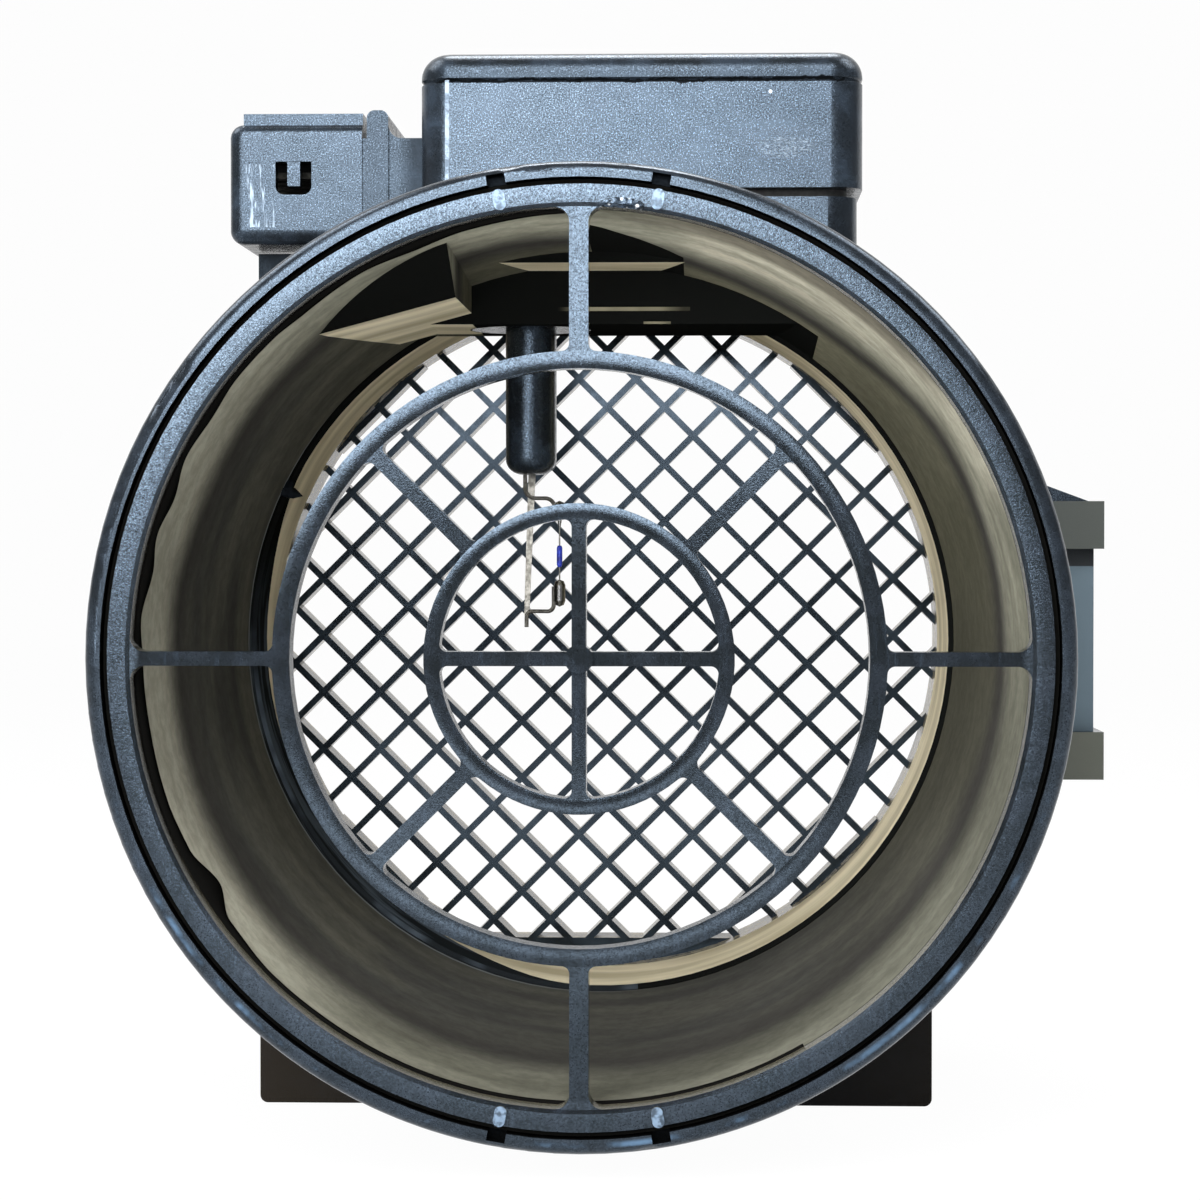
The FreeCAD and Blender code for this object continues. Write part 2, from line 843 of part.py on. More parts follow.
def terminal_outline(index):
    """Blade terminal, from its point in the socket to its tail in the case."""
    y = connector_mid_y + (index - (terminal_count - 1) / 2) * terminal_pitch
    x0 = connector_left + terminal_tip_gap
    blade = box(x0, terminal_end_x, y - terminal_width / 2, y + terminal_width / 2,
                terminal_bottom, terminal_top)
    tip = [e for e in blade.Edges if abs(e.BoundBox.XMax - x0) < EPS and e.BoundBox.YLength > EPS]
    return blade.makeChamfer(terminal_thickness / 3, tip)


def sensor_body():
    shell = rounded_prism(case_left, case_right, case_front, case_back, case_bottom, case_top, case_corner)
    shell = shell.makeChamfer(joint_groove, edges_at_height(shell, case_top))
    hollow = rounded_prism(case_left + case_wall, case_right - case_wall, case_front + case_wall,
                           case_back - case_wall, floor_top, case_top + 1, case_corner - case_wall / 2)
    rib_x = case_left + case_rib_inset
    rib = box(rib_x, rib_x + case_rib_width, case_front - case_rib_proud, case_front + EPS,
              case_bottom, case_top)
    collar = cylinder_z(collar_radius, post_x, post_y, step_two_height, case_bottom + EPS)
    solid = union([shell, rib, connector_shroud(), collar, probe_post()])
    window_back = post_front + post_depth
    cuts = [hollow, connector_cavity(), latch_window()]
    cuts.append(box(post_x - window_width / 2, post_x + window_width / 2, window_back - window_depth,
                    window_back + 1, window_bottom, window_bottom + window_height))
    cuts += [terminal_outline(index) for index in range(terminal_count)]
    cuts += [short_prong(), long_prong(), air_temperature_bead()]
    for x, y in screw_places:
        cuts.append(cylinder_z(screw_radius + screw_clearance, x, y, case_bottom - 1, floor_top + 1))
    return solid.cut(cuts).removeSplitter()


def module_lid():
    top = case_top + lid_height
    block = rounded_prism(case_left, case_right, case_front, case_back, case_top, top, case_corner)
    block = block.makeFillet(lid_round, edges_at_height(block, top))
    block = block.makeChamfer(joint_groove, edges_at_height(block, case_top))
    reach = case_wall + lid_clearance
    skirt = rounded_prism(case_left + reach, case_right - reach, case_front + reach, case_back - reach,
                          case_top - lid_skirt_depth, case_top + EPS, case_corner - case_wall / 2)
    inside = reach + lid_skirt_wall
    hollow = box(case_left + inside, case_right - inside, case_front + inside, case_back - inside,
                 case_top - lid_skirt_depth - 1, top - lid_thickness)
    return union([block, skirt]).cut(hollow)


def module_gasket():
    inset = gasket_inset
    inner = inset + gasket_width
    ring = rounded_prism(pedestal_left + inset, pedestal_right - inset, pedestal_front + inset,
                         pedestal_back - inset, pedestal_top, case_bottom, pedestal_corner - inset / 2)
    hole = box(pedestal_left + inner, pedestal_right - inner, pedestal_front + inner, pedestal_back - inner,
               pedestal_top - 1, case_bottom + 1)
    return ring.cut(hole)


# Circuit

def carrier_plate():
    margin = case_wall + plate_margin
    plate = box(terminal_end_x + plate_margin / 4, case_right - margin, case_front + margin,
                case_back - margin, floor_top, plate_top)
    cuts = [box(post_x - plate_window_width / 2, post_x + plate_window_width / 2,
                post_y - plate_window_length / 2, post_y + plate_window_length / 2,
                floor_top - 1, plate_top + 1)]
    for x, y in screw_places:
        cuts.append(cylinder_z(screw_radius + screw_clearance, x, y, floor_top - 1, plate_top + 1))
    return plate.cut(cuts)


def circuit_board():
    return box(board_left, board_right, board_front, board_back, plate_top, board_top)


def signal_chip():
    x = board_left + chip_inset
    y = post_y - chip_side / 2
    chip = box(x, x + chip_side, y, y + chip_side, board_top, board_top + chip_height)
    return chip.makeChamfer(chip_height / 4, edges_at_height(chip, board_top + chip_height))


def power_transistor():
    x = board_right - transistor_width - part_edge_gap
    y = board_back - transistor_length - part_edge_gap
    return box(x, x + transistor_width, y, y + transistor_length, board_top, board_top + transistor_height)


def capacitor(index):
    x = board_left + 2 * part_edge_gap + index * capacitor_spacing
    y = board_front + 2 * part_edge_gap
    return box(x, x + capacitor_width, y, y + capacitor_length, board_top, board_top + capacitor_height)


def ribbon(x0, z0, x1, z1, y):
    """Flat bond ribbon that rises from one pad and comes down on the next."""
    crest = max(z0, z1) + ribbon_rise
    quarter = (x1 - x0) / 4
    lower = [(x0, z0), (x0 + quarter, crest), (x1 - quarter, crest), (x1, z1)]
    upper = [(x, z + ribbon_thickness) for x, z in reversed(lower)]
    return plate_xz(lower + upper, y - ribbon_width / 2, y + ribbon_width / 2)


def terminal_lead(index):
    y = connector_mid_y + (index - (terminal_count - 1) / 2) * terminal_pitch
    start = terminal_end_x - terminal_tail / 2
    return ribbon(start, terminal_top, board_left + board_pad_inset, board_top, y)


def prong_lead(y, x):
    return ribbon(x, prong_top, board_left + board_pad_inset, board_top, y)


def module_screw(place):
    x, y = place
    shank = cylinder_z(screw_radius, x, y, plate_top - screw_length, plate_top + EPS)
    head = cylinder_z(screw_head_radius, x, y, plate_top, plate_top + screw_head_height)
    top = plate_top + screw_head_height
    head = head.makeChamfer(screw_head_height / 4, edges_at_height(head, top))
    socket = cylinder_z(screw_socket_radius, x, y, top - screw_socket_depth, top + 1)
    return union([shank, head]).cut(socket)


# Probe

def short_prong():
    points = [
        Vec(short_prong_x, short_prong_y, prong_top),
        Vec(short_prong_x, short_prong_y, short_prong_level),
        Vec(short_prong_x + short_prong_reach, element_y, short_prong_level),
        Vec(short_prong_x + short_prong_reach, element_y, short_prong_end),
    ]
    return round_wire(points, short_prong_radius, short_prong_bend)


def long_prong():
    y0 = long_prong_y - long_prong_thickness / 2
    root = long_prong_root_width / 2
    tip = long_prong_tip_width / 2
    outline = [
        (post_x - root, prong_top),
        (post_x + root, prong_top),
        (post_x + root, post_bottom),
        (long_prong_tip_x + tip, long_prong_tip),
        (long_prong_tip_x - tip, long_prong_tip),
        (post_x - root, post_bottom),
    ]
    return plate_xz(outline, y0, y0 + long_prong_thickness)


def turned_upright(profile, x, y):
    """Solid of revolution about an upright axis, from (radius, z) points that start and end on the axis."""
    points = [Vec(x + radius, y, z) for radius, z in profile]
    face = Part.Face(Part.makePolygon(points + points[:1]))
    return face.revolve(Vec(x, y, 0), Vec(0, 0, 1), 360)


def teardrop(radius, z_top, z_bottom, x, y):
    """Weld bead: round at the top and drawn out to the fine lead below."""
    shoulder = z_top - radius
    profile = [(0, z_top)]
    profile += [(radius * math.sin(math.radians(a)), shoulder + radius * math.cos(math.radians(a)))
                for a in (45, 90)]
    profile += [(radius * 0.8, shoulder - radius * 0.6), (radius * 0.35, shoulder - radius * 1.6),
                (lead_radius, z_bottom), (0, z_bottom)]
    return turned_upright(profile, x, y)


def capsule(radius, x, y, z0, z1):
    """Upright bead with rounded ends."""
    angles = [math.radians(a) for a in (0, 45, 90)]
    top = [(radius * math.sin(a), z1 - radius + radius * math.cos(a)) for a in angles]
    bottom = [(r, z0 + z1 - z) for r, z in reversed(top)]
    return turned_upright(top + bottom, x, y)


def upper_weld():
    bead = teardrop(upper_weld_radius, upper_weld_top, upper_weld_bottom, element_x, element_y)
    return bead.cut(short_prong())


def upper_lead():
    return cylinder_z(lead_radius, element_x, element_y, element_top, upper_weld_bottom)


def sensing_element():
    return capsule(element_radius, element_x, element_y, element_bottom, element_top)


def lower_lead():
    return cylinder_z(lead_radius, element_x, element_y, lower_weld_top, element_bottom)


def lower_weld():
    bead = capsule(lower_weld_radius, element_x, element_y, lower_weld_bottom, lower_weld_top)
    return bead.cut(tail_wire())


def tail_wire():
    """Wire that leaves the lower weld, turns left and is welded to the long prong."""
    front_of_prong = long_prong_y - long_prong_thickness / 2 - tail_radius
    x = element_x - lower_weld_radius
    points = [
        Vec(x, element_y, tail_top),
        Vec(x, element_y, tail_level),
        Vec(long_prong_tip_x, front_of_prong, tail_level),
        Vec(long_prong_tip_x, front_of_prong, tail_tip),
    ]
    return round_wire(points, tail_radius, tail_bend)


def air_temperature_bead():
    """Compensating bead in the window at the back of the post, on its own lead."""
    y = post_front + post_depth - window_depth / 2
    z0 = window_bottom + (window_height - bead_length) / 2
    bead = capsule(bead_radius, post_x, y, z0, z0 + bead_length)
    lead = cylinder_z(bead_lead_radius, post_x, y, z0 + bead_length / 2, prong_top)
    return union([bead, lead])


# Seal

def airbox_seal():
    section = seal_groove_width / 2 - screen_clearance
    bottom = spigot_radius - seal_groove_depth
    middle = seal_groove_start + seal_groove_width / 2
    top = spigot_radius + seal_proud
    profile = [
        (middle - section, bottom),
        (middle - section, top - section / 2),
        (middle - section / 2, top),
        (middle + section / 2, top),
        (middle + section, top - section / 2),
        (middle + section, bottom),
    ]
    return turned(profile)


def all_pieces():
    pieces = {
        "duct_housing": duct_housing(),
        "outlet_guard": outlet_guard(),
        "inlet_screen": inlet_screen(),
        "airbox_seal": airbox_seal(),
        "sensor_body": sensor_body(),
        "module_lid": module_lid(),
        "module_gasket": module_gasket(),
        "carrier_plate": carrier_plate(),
        "circuit_board": circuit_board(),
        "signal_chip": signal_chip(),
        "power_transistor": power_transistor(),
        "short_prong": short_prong(),
        "long_prong": long_prong(),
        "upper_weld": upper_weld(),
        "upper_lead": upper_lead(),
        "sensing_element": sensing_element(),
        "lower_lead": lower_lead(),
        "lower_weld": lower_weld(),
        "tail_wire": tail_wire(),
        "air_temperature_bead": air_temperature_bead(),
        "prong_lead_1": prong_lead(short_prong_y, short_prong_x),
        "prong_lead_2": prong_lead(long_prong_y, post_x),
    }
    for index in range(capacitor_count):
        pieces["capacitor_%d" % (index + 1)] = capacitor(index)
    for index in range(terminal_count):
        pieces["terminal_%d" % (index + 1)] = terminal_outline(index)
        pieces["terminal_lead_%d" % (index + 1)] = terminal_lead(index)
    for number, place in enumerate(screw_places, 1):
        pieces["module_screw_%d" % number] = module_screw(place)
    return pieces


def main():
    os.makedirs("parts", exist_ok=True)
    for name, shape in all_pieces().items():
        solids = shape.Solids
        single = solids[0] if len(solids) == 1 else shape
        single.exportStep("parts/%s.step" % name)
        print(name, "solids", len(solids), "valid", shape.isValid(), "volume mm3", round(shape.Volume, 2))


main()
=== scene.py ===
import json
import math
from functools import cached_property

import bpy
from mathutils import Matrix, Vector


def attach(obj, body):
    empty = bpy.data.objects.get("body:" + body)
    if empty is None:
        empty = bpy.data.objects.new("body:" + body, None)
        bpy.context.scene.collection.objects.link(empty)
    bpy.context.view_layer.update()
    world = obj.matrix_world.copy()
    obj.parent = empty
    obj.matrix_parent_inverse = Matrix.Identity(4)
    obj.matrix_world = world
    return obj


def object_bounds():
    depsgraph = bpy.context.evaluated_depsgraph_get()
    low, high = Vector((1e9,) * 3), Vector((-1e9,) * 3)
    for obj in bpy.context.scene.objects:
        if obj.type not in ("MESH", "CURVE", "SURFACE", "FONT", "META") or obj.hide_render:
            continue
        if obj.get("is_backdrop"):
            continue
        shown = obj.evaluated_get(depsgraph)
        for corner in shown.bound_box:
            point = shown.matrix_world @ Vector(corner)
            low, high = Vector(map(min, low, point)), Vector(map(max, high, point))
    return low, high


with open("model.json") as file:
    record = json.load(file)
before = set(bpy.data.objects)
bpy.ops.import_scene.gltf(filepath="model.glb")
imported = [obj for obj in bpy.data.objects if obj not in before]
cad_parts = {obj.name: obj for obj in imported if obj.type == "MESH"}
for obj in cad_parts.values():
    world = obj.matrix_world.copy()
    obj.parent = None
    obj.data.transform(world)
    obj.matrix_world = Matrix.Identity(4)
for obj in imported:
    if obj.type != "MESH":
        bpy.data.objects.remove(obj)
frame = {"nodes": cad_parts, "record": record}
lo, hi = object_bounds()
nodes = frame["nodes"]


def extent(name):
    """Least and greatest X, Y and Z of a node, in metres of the row frame."""
    node = nodes[name]
    corners = [node.matrix_world @ Vector(corner) for corner in node.bound_box]
    return [min(axis) for axis in zip(*corners)], [max(axis) for axis in zip(*corners)]


def rgb(code):
    """Linear colour from the sRGB code of the swatch."""
    values = [int(code[i:i + 2], 16) / 255 for i in (0, 2, 4)]
    return tuple(v / 12.92 if v <= 0.04045 else ((v + 0.055) / 1.055) ** 2.4 for v in values)


# Colours of the case

SHEEN = (0.58, 0.77, 1.0, 1.0)
CASE_DARK = rgb("121518")
CASE_HAZE = rgb("1e242b")
CASE_RUB = rgb("4a5a6b")
SCUFF = rgb("c9d7e4")
SPECK = rgb("c4ced8")
JOINT_BLACK = rgb("08090a")
# pale wear on the connector's corner, and the painted highlight along the rib
PALE_WEAR_AND_HIGHLIGHT = rgb("b4c4d4")
STEP_SHADOW = rgb("0c0e10")
# painted shade, near black, inside the connector's socket
SOCKET_SHADE = rgb("060606")

# Colours of the guard and the screen

GUARD_DARK = rgb("0e1011")
GUARD_HAZE = rgb("16191d")
GUARD_STREAK = rgb("272f38")
# painted highlight on the faces of the pips
PIP_HIGHLIGHT = rgb("7f94ab")
# painted glints on the bubbles of the melted spot
BLISTER_GLINT = rgb("e6edf4")
BLISTER_HOLLOW = rgb("1d242c")
WALL_OLIVE = rgb("38362f")
# painted light: the wall's olive, lighter low down
WALL_OLIVE_LIT = rgb("565347")
# painted shade in the groove round the guard, on the skirt and deep in the ring's wall
GUARD_SHADE_BLACK = rgb("0c0c0b")
SCREEN_DARK = rgb("0f1214")
SCREEN_LIGHT = rgb("232a30")
STRAND_FLANK_DARK = rgb("6e6552")
STRAND_FLANK_LIGHT = rgb("a89c80")

# Colours of the duct's outside

DUCT_DARK = rgb("0f1113")
DUCT_HAZE = rgb("191d22")
FOOT_BROWN = rgb("241f18")
# painted light on the fronts of the clip catch, its lugs and the plate between them
CATCH_LIT_LOW = rgb("565851")
CATCH_LIT_HIGH = rgb("474a47")
CATCH_WEB_LIT = rgb("56636b")
CATCH_SHADOW = rgb("1c1815")
LAND_GLINT = rgb("5f7d9b")
# painted shade in the gap round the guard
GAP_SHADE = rgb("050505")

# Colours of the film of dust in the bore, with painted light and shade

DUST_SHEEN = (1.0, 0.97, 0.9)
NEAR_DARK = rgb("7a7a6c")
NEAR_LIGHT = rgb("a9a897")
NEAR_CLOUD = rgb("5b5a50")
# painted shade: the near film darker at the lower left
NEAR_LOWER_LEFT_SHADE = rgb("57564d")
NEAR_LEFT = rgb("dcd8c6")
NEAR_LOWER_RIGHT = rgb("52524a")
# cream smear of dust at the upper right, partly painted light
CREAM_SMEAR_AND_LIGHT = rgb("e6e0cb")
# painted shade before the cream smear
SHADE_BEFORE_STREAK = rgb("5d564c")
FAR_DARK = rgb("444441")
FAR_LIGHT = rgb("5d5c54")
FAR_CLOUD = rgb("615f53")
# painted light on the far film at the upper right
FAR_UPPER_RIGHT_LIT = rgb("6b6955")
# painted light on the far film in the band at the upper right
FAR_LIT_STREAK = rgb("8f8c76")
FAR_LOWER_RIGHT = rgb("393937")
GREY_BAND = rgb("403f3c")
MOTTLE = rgb("262622")
# painted shade, black, in the roof's recess
RECESS_SHADE = rgb("131413")
# light dust, painted brighter as lit, in the throat, on the ledge and under the wedge
LIT_DUST_DARK = rgb("b8ae92")
LIT_DUST_LIGHT = rgb("f0e6ca")
SHADE_BLACK = rgb("111211")
LIP_SHINE = rgb("6b7783")
# painted highlight line along the lip
LIP_HIGHLIGHT_LINE = rgb("7e8689")
# painted highlights on two edges of the roof's front
ROOF_EDGE_HIGHLIGHT = rgb("8f8a74")

# Which way a face looks: limits for the parts of its direction

FRONTWARD = -0.9
BACKWARD = 0.9
FLANK = 0.6
DOWNWARD = -0.9
FLAT_DOWN = -0.9995
ROOF_FRONTWARD = -0.2

# Places on the case, in metres of the row frame

OPEN = None
CASE_TOP = extent("sensor_body")[1][2]
CASE_FRONT = extent("module_lid")[0][1] + 0.0005
JOINT_BELOW = 0.00018
JOINT_ABOVE = 0.00012
JOINT_RAGGED = 0.0003
RIB_X = (-0.01442, -0.01395)
SCUFFS = {"centre": (0.0193, 0.0497), "reach": (0.003, 0.0012)}
WHITE_SPECK = {"centre": (0.0178, 0.05515), "reach": (0.0002, 0.0002)}
SOCKET = {"x": (-0.0376, -0.0254), "y": (0.0397, 0.0583), "z": (0.043, 0.0519)}
SOCKET_FRONT_Y = (0.0375, 0.0384)
STEP_X = (-0.0358, -0.0236)
STEP_Z = (0.0494, 0.04954)
STEP_NICK = {"x": (-0.0356, -0.0344), "z": (0.0494, 0.0500)}
DRAWN_CORNER = {"x": (-0.0358, -0.0328), "z": (0.043, 0.0494)}
NECK_END = {"x": (-0.0215, -0.0169), "y": (0.038, 0.039)}
NECK_FADE_X = (-0.0212, -0.0182)
COLLAR_X = (-0.0236, -0.0168)
CONNECTOR_FADE_X = (-0.022, -0.0165)
BELOW_CONNECTOR = {"x": (OPEN, -0.018), "z": (OPEN, 0.0416)}

# Places on the guard

GUARD_RADIUS = extent("outlet_guard")[1][0]
GUARD_DEPTH = extent("outlet_guard")[1][1]
OUTER_RING = (GUARD_RADIUS - 0.0015, 0.0010)
MIDDLE_RING = (0.0271, 0.0008)
INNER_RING = (0.0134, 0.0007)
OUTER_RING_EDGE = (0.0398, 0.0406)
PIP_FACE_Y = 0.0003
BLISTER = {"centre": (0.0037, 0.0409), "reach": (0.0023, 0.0008)}
GUARD_WALL_RADIUS = 0.0405
GUARD_WALL_FADE_Y = (0.0012, 0.0034)
GUARD_LOWER_Z = (-0.014, -0.026)
GROOVE_RADIUS = GUARD_RADIUS - 0.00055
GROOVE_DEPTH = 0.0006
SKIRT_RADIUS = 0.0392
SKIRT_START = 0.0033

# Places on the duct's outside

FOOT = {"y": (0.03, OPEN), "z": (OPEN, -0.028)}
FOOT_RADIUS = 0.0462
CATCH = {"x": (0.046, OPEN), "y": (OPEN, 0.0606), "z": (OPEN, 0.0152)}
CATCH_FADE_Z = (-0.01, 0.01)
CATCH_WEB = {"x": (0.046, OPEN), "y": (0.0606, 0.064)}
CATCH_WEB_SHADOW_Z = (0.0081, 0.0102)
LAND_INNER = (0.0436, 0.0440)
LAND_OUTER = (0.0444, 0.0441)
LAND_FADE_Y = (0.003, 0.002)
LAND_FADE_Z = (-0.008, -0.02)
RIM_GAP_RADIUS = (0.0428, 0.0445)
RIM_GAP_Y = (0.0003, 0.004)
CONNECTOR_WEB = {"x": (OPEN, -0.024), "y": (0.02, OPEN), "z": (0.034, OPEN)}

# Places in the bore

BORE_RADIUS = 0.0419
BORE_START = 0.0034
UPPER_RIGHT = (-0.02, 0.05)
NEAR_LEFT_X = (-0.02, -0.038)
NEAR_LOWER_RIGHT_FADE = (0.025, 0.05)
FAR_LOWER_RIGHT_FADE = (0.02, 0.045)
STREAK_DEPTH = 0.007
STREAK_SHIFT = 0.012
STREAK_FADE = (0.003, 0.011)
STREAK_TOWARD = (0.03, 0.036)
STREAK_X = (0.006, 0.013)
SHIFT_TOWARD = (0.0355, 0.0408)
BEFORE_STREAK_Y = (0.009, 0.013)
FILM_WANDER = 0.003
NEAR_END = (0.014, 0.025)
FAR_BEGINNING = (0.024, 0.033)
LIP_START = (0.0575, 0.0585)
LIP_TURN = (-0.038, 0)
THROAT_START = (0.067, 0.0595)
THROAT_TURN = (-0.036, -0.022)
ROOF_RECESS = {"x": (0, 0.0092), "z": (0.03, OPEN)}
ROOF_RECESS_START = 0.013
ROOF_RECESS_SLOPE = 1.76
LEDGE = {"x": (-0.0131, 0.0105), "y": (0.031, 0.0415), "z": (0.0375, 0.0395)}
BELOW_WEDGE = {"x": (OPEN, -0.0127), "y": (0.0205, 0.0556), "z": (0.025, 0.0345)}
ROOF_FRONT = {"z": (0.022, OPEN)}
ROOF_END = {"x": (0.008, 0.023), "y": (0.0412, 0.0595), "z": (0.0285, OPEN)}
BELOW_ROOF = {"x": (-0.0127, OPEN), "y": (OPEN, 0.0595), "z": (0.022, 0.0372)}
LIP = {"x": (OPEN, 0.004), "y": (0.0575, 0.067)}
LIP_SHINE_Z = (0.012, -0.004)
LIP_LINE_WIDTH = (-0.0005, 0.0001)
LIP_LINE_X = (0.01, -0.02)
LIP_LINE_Z = (0.026, 0.018)
FIRST_LINE = {"x": (-0.004, 0.0098), "z": (0.03455, 0.03495)}
SECOND_LINE = {"x": (0.005, 0.0078), "z": (0.0331, 0.03345)}
LINE_LEFT_X = (-0.004, -0.0005)
LINE_RIGHT_X = (0.014, 0.007)


# Materials

class Look:
    """A procedural material with short helpers for its nodes."""

    def __init__(self, name):
        self.mat = bpy.data.materials.new(name)
        self.mat.use_nodes = True
        self.tree = self.mat.node_tree
        self.shader = self.tree.nodes["Principled BSDF"]
        self.coords = self.node("ShaderNodeTexCoord").outputs["Object"]
        self.heights = []

    def node(self, kind, **values):
        made = self.tree.nodes.new(kind)
        for key, value in values.items():
            setattr(made, key, value)
        return made

    def plug(self, socket, value):
        if hasattr(value, "is_output"):
            self.tree.links.new(value, socket)
        else:
            socket.default_value = value

    def parts_of(self, vector):
        made = self.node("ShaderNodeSeparateXYZ")
        self.plug(made.inputs[0], vector)
        return tuple(made.outputs)

    @cached_property
    def place(self):
        """X, Y and Z of the point, in metres of the row frame."""
        return self.parts_of(self.coords)

    @cached_property
    def facing(self):
        """X, Y and Z of the surface's own direction."""
        return self.parts_of(self.node("ShaderNodeNewGeometry").outputs["True Normal"])

    @cached_property
    def front(self):
        """1 on the faces that look toward the hose end."""
        return self.below(self.facing[1], FRONTWARD)

    @cached_property
    def flank(self):
        """1 on the faces that stand along the duct."""
        return self.below(self.math("ABSOLUTE", self.facing[1]), FLANK)

    @cached_property
    def radius(self):
        """Distance from the duct's axis."""
        x, y, z = self.place
        return self.math("SQRT", self.math("ADD", self.both(x, x), self.both(z, z)))

    def stretched(self, scale):
        mapping = self.node("ShaderNodeMapping")
        mapping.inputs["Scale"].default_value = scale
        self.plug(mapping.inputs["Vector"], self.coords)
        return mapping.outputs["Vector"]

    def noise(self, scale, detail=3.0, rough=0.6, vector=None):
        made = self.node("ShaderNodeTexNoise")
        self.plug(made.inputs["Vector"], vector or self.coords)
        made.inputs["Scale"].default_value = scale
        made.inputs["Detail"].default_value = detail
        made.inputs["Roughness"].default_value = rough
        return made.outputs["Fac"]

    def cells(self, scale):
        made = self.node("ShaderNodeTexVoronoi")
        self.plug(made.inputs["Vector"], self.coords)
        made.inputs["Scale"].default_value = scale
        return made.outputs["Distance"]

    def math(self, kind, a, b=0.0, clamp=False):
        made = self.node("ShaderNodeMath", operation=kind, use_clamp=clamp)
        self.plug(made.inputs[0], a)
        self.plug(made.inputs[1], b)
        return made.outputs[0]

    def span(self, value, low, high, to_low=0.0, to_high=1.0, smooth=True):
        """The value carried from one range over to another, and held at its ends."""
        made = self.node("ShaderNodeMapRange")
        made.interpolation_type = "SMOOTHSTEP" if smooth else "LINEAR"
        self.plug(made.inputs["Value"], value)
        made.inputs["From Min"].default_value = low
        made.inputs["From Max"].default_value = high
        made.inputs["To Min"].default_value = to_low
        made.inputs["To Max"].default_value = to_high
        return made.outputs["Result"]

    def mix(self, factor, a, b):
        made = self.node("ShaderNodeMix", data_type="RGBA")
        self.plug(made.inputs[0], factor)
        for index, value in ((6, a), (7, b)):
            if isinstance(value, tuple) and len(value) == 3:
                value = value + (1.0,)
            self.plug(made.inputs[index], value)
        return made.outputs[2]

    def both(self, first, *others):
        """Product of the values: 1 where all the masks are 1."""
        for other in others:
            first = self.math("MULTIPLY", first, other)
        return first

    def either(self, first, *others):
        """Greatest of the values: 1 where one of the masks is 1."""
        for other in others:
            first = self.math("MAXIMUM", first, other)
        return first

    def above(self, value, limit):
        """1 where the value is greater than the limit."""
        return self.math("GREATER_THAN", value, limit)

    def below(self, value, limit):
        """1 where the value is less than the limit."""
        return self.math("LESS_THAN", value, limit)

    def within(self, value, low, high):
        """1 where the value lies between two limits."""
        return self.both(self.above(value, low), self.below(value, high))

    def outside_of(self, mask):
        return self.math("SUBTRACT", 1, mask)

    def box(self, x=(OPEN, OPEN), y=(OPEN, OPEN), z=(OPEN, OPEN)):
        """1 inside a box, which can be open at some of its sides."""
        masks = []
        for value, (low, high) in zip(self.place, (x, y, z)):
            if low is not OPEN:
                masks.append(self.above(value, low))
            if high is not OPEN:
                masks.append(self.below(value, high))
        return self.both(*masks)

    def patch(self, centre, reach):
        """Soft oval about a place in X and Z."""
        x, y, z = self.place
        across = self.math("DIVIDE", self.math("SUBTRACT", x, centre[0]), reach[0])
        up = self.math("DIVIDE", self.math("SUBTRACT", z, centre[1]), reach[1])
        away = self.math("ADD", self.both(across, across), self.both(up, up))
        return self.span(away, 0.5, 1.0, 1.0, 0.0)

    def scaled(self, value, mask, share):
        """The value, times a share where the mask is 1."""
        return self.both(value, self.span(mask, 0, 1, 1, share))

    def bump(self, height, distance, strength=1.0):
        self.heights.append((height, distance, strength))

    def finish(self, color, rough):
        self.plug(self.shader.inputs["Base Color"], color)
        self.plug(self.shader.inputs["Roughness"], rough)
        normal = None
        for height, distance, strength in self.heights:
            made = self.node("ShaderNodeBump")
            made.inputs["Distance"].default_value = distance
            made.inputs["Strength"].default_value = strength
            self.plug(made.inputs["Height"], height)
            if normal is not None:
                self.plug(made.inputs["Normal"], normal)
            normal = made.outputs["Normal"]
        if normal is not None:
            self.plug(self.shader.inputs["Normal"], normal)
        return self.mat


def speckled(look, dark, haze, grain):
    """Moulded plastic: dark base, faint haze and a fine grain that glints where it mirrors the light."""
    color = look.mix(look.span(look.noise(260, 4, 0.65), 0.4, 0.66), dark, haze)
    look.bump(look.noise(6500, 2, 0.9), 0.000018 * grain)
    look.bump(look.noise(900, 3, 0.6), 0.00001 * grain)
    look.shader.inputs["IOR"].default_value = 1.58
    look.shader.inputs["Specular Tint"].default_value = SHEEN
    glints = look.noise(6000, 2, 0.9)
    faint = look.span(glints, 0.36, 0.52, 0.2, 0.5)
    bright = look.span(glints, 0.54, 0.66, 0, 0.7 * grain)
    return color, look.math("ADD", faint, bright)


def set_level(look, level, matt, share):
    """Specular level, cut down to a share where the surface is matt."""
    look.plug(look.shader.inputs["Specular IOR Level"], look.scaled(level, matt, share))


def uneven(look, low, high, scale=700):
    """Roughness that varies a little over the surface."""
    return look.span(look.noise(scale, 3), 0.3, 0.7, low, high)


# Electronics case and its lid

def case_marks(look, color):
    """Scuffs, a white speck and a painted highlight along the rib on the case's front."""
    scratch = look.span(look.noise(2600, 3, 0.8, look.stretched((1, 1, 3))), 0.5, 0.64)
    color = look.mix(look.both(look.patch(**SCUFFS), scratch, look.front, 0.2), color, SCUFF)
    color = look.mix(look.both(look.patch(**WHITE_SPECK), look.front), color, SPECK)
    # painted highlight along the rib, broken up by noise
    broken_highlight = look.span(look.noise(700, 3, 0.7), 0.35, 0.6, 0.1, 0.75)
    rib_highlight = look.both(look.box(x=RIB_X, z=(OPEN, CASE_TOP)), look.front)
    return look.mix(look.both(rib_highlight, broken_highlight, 0.6), color, PALE_WEAR_AND_HIGHLIGHT)


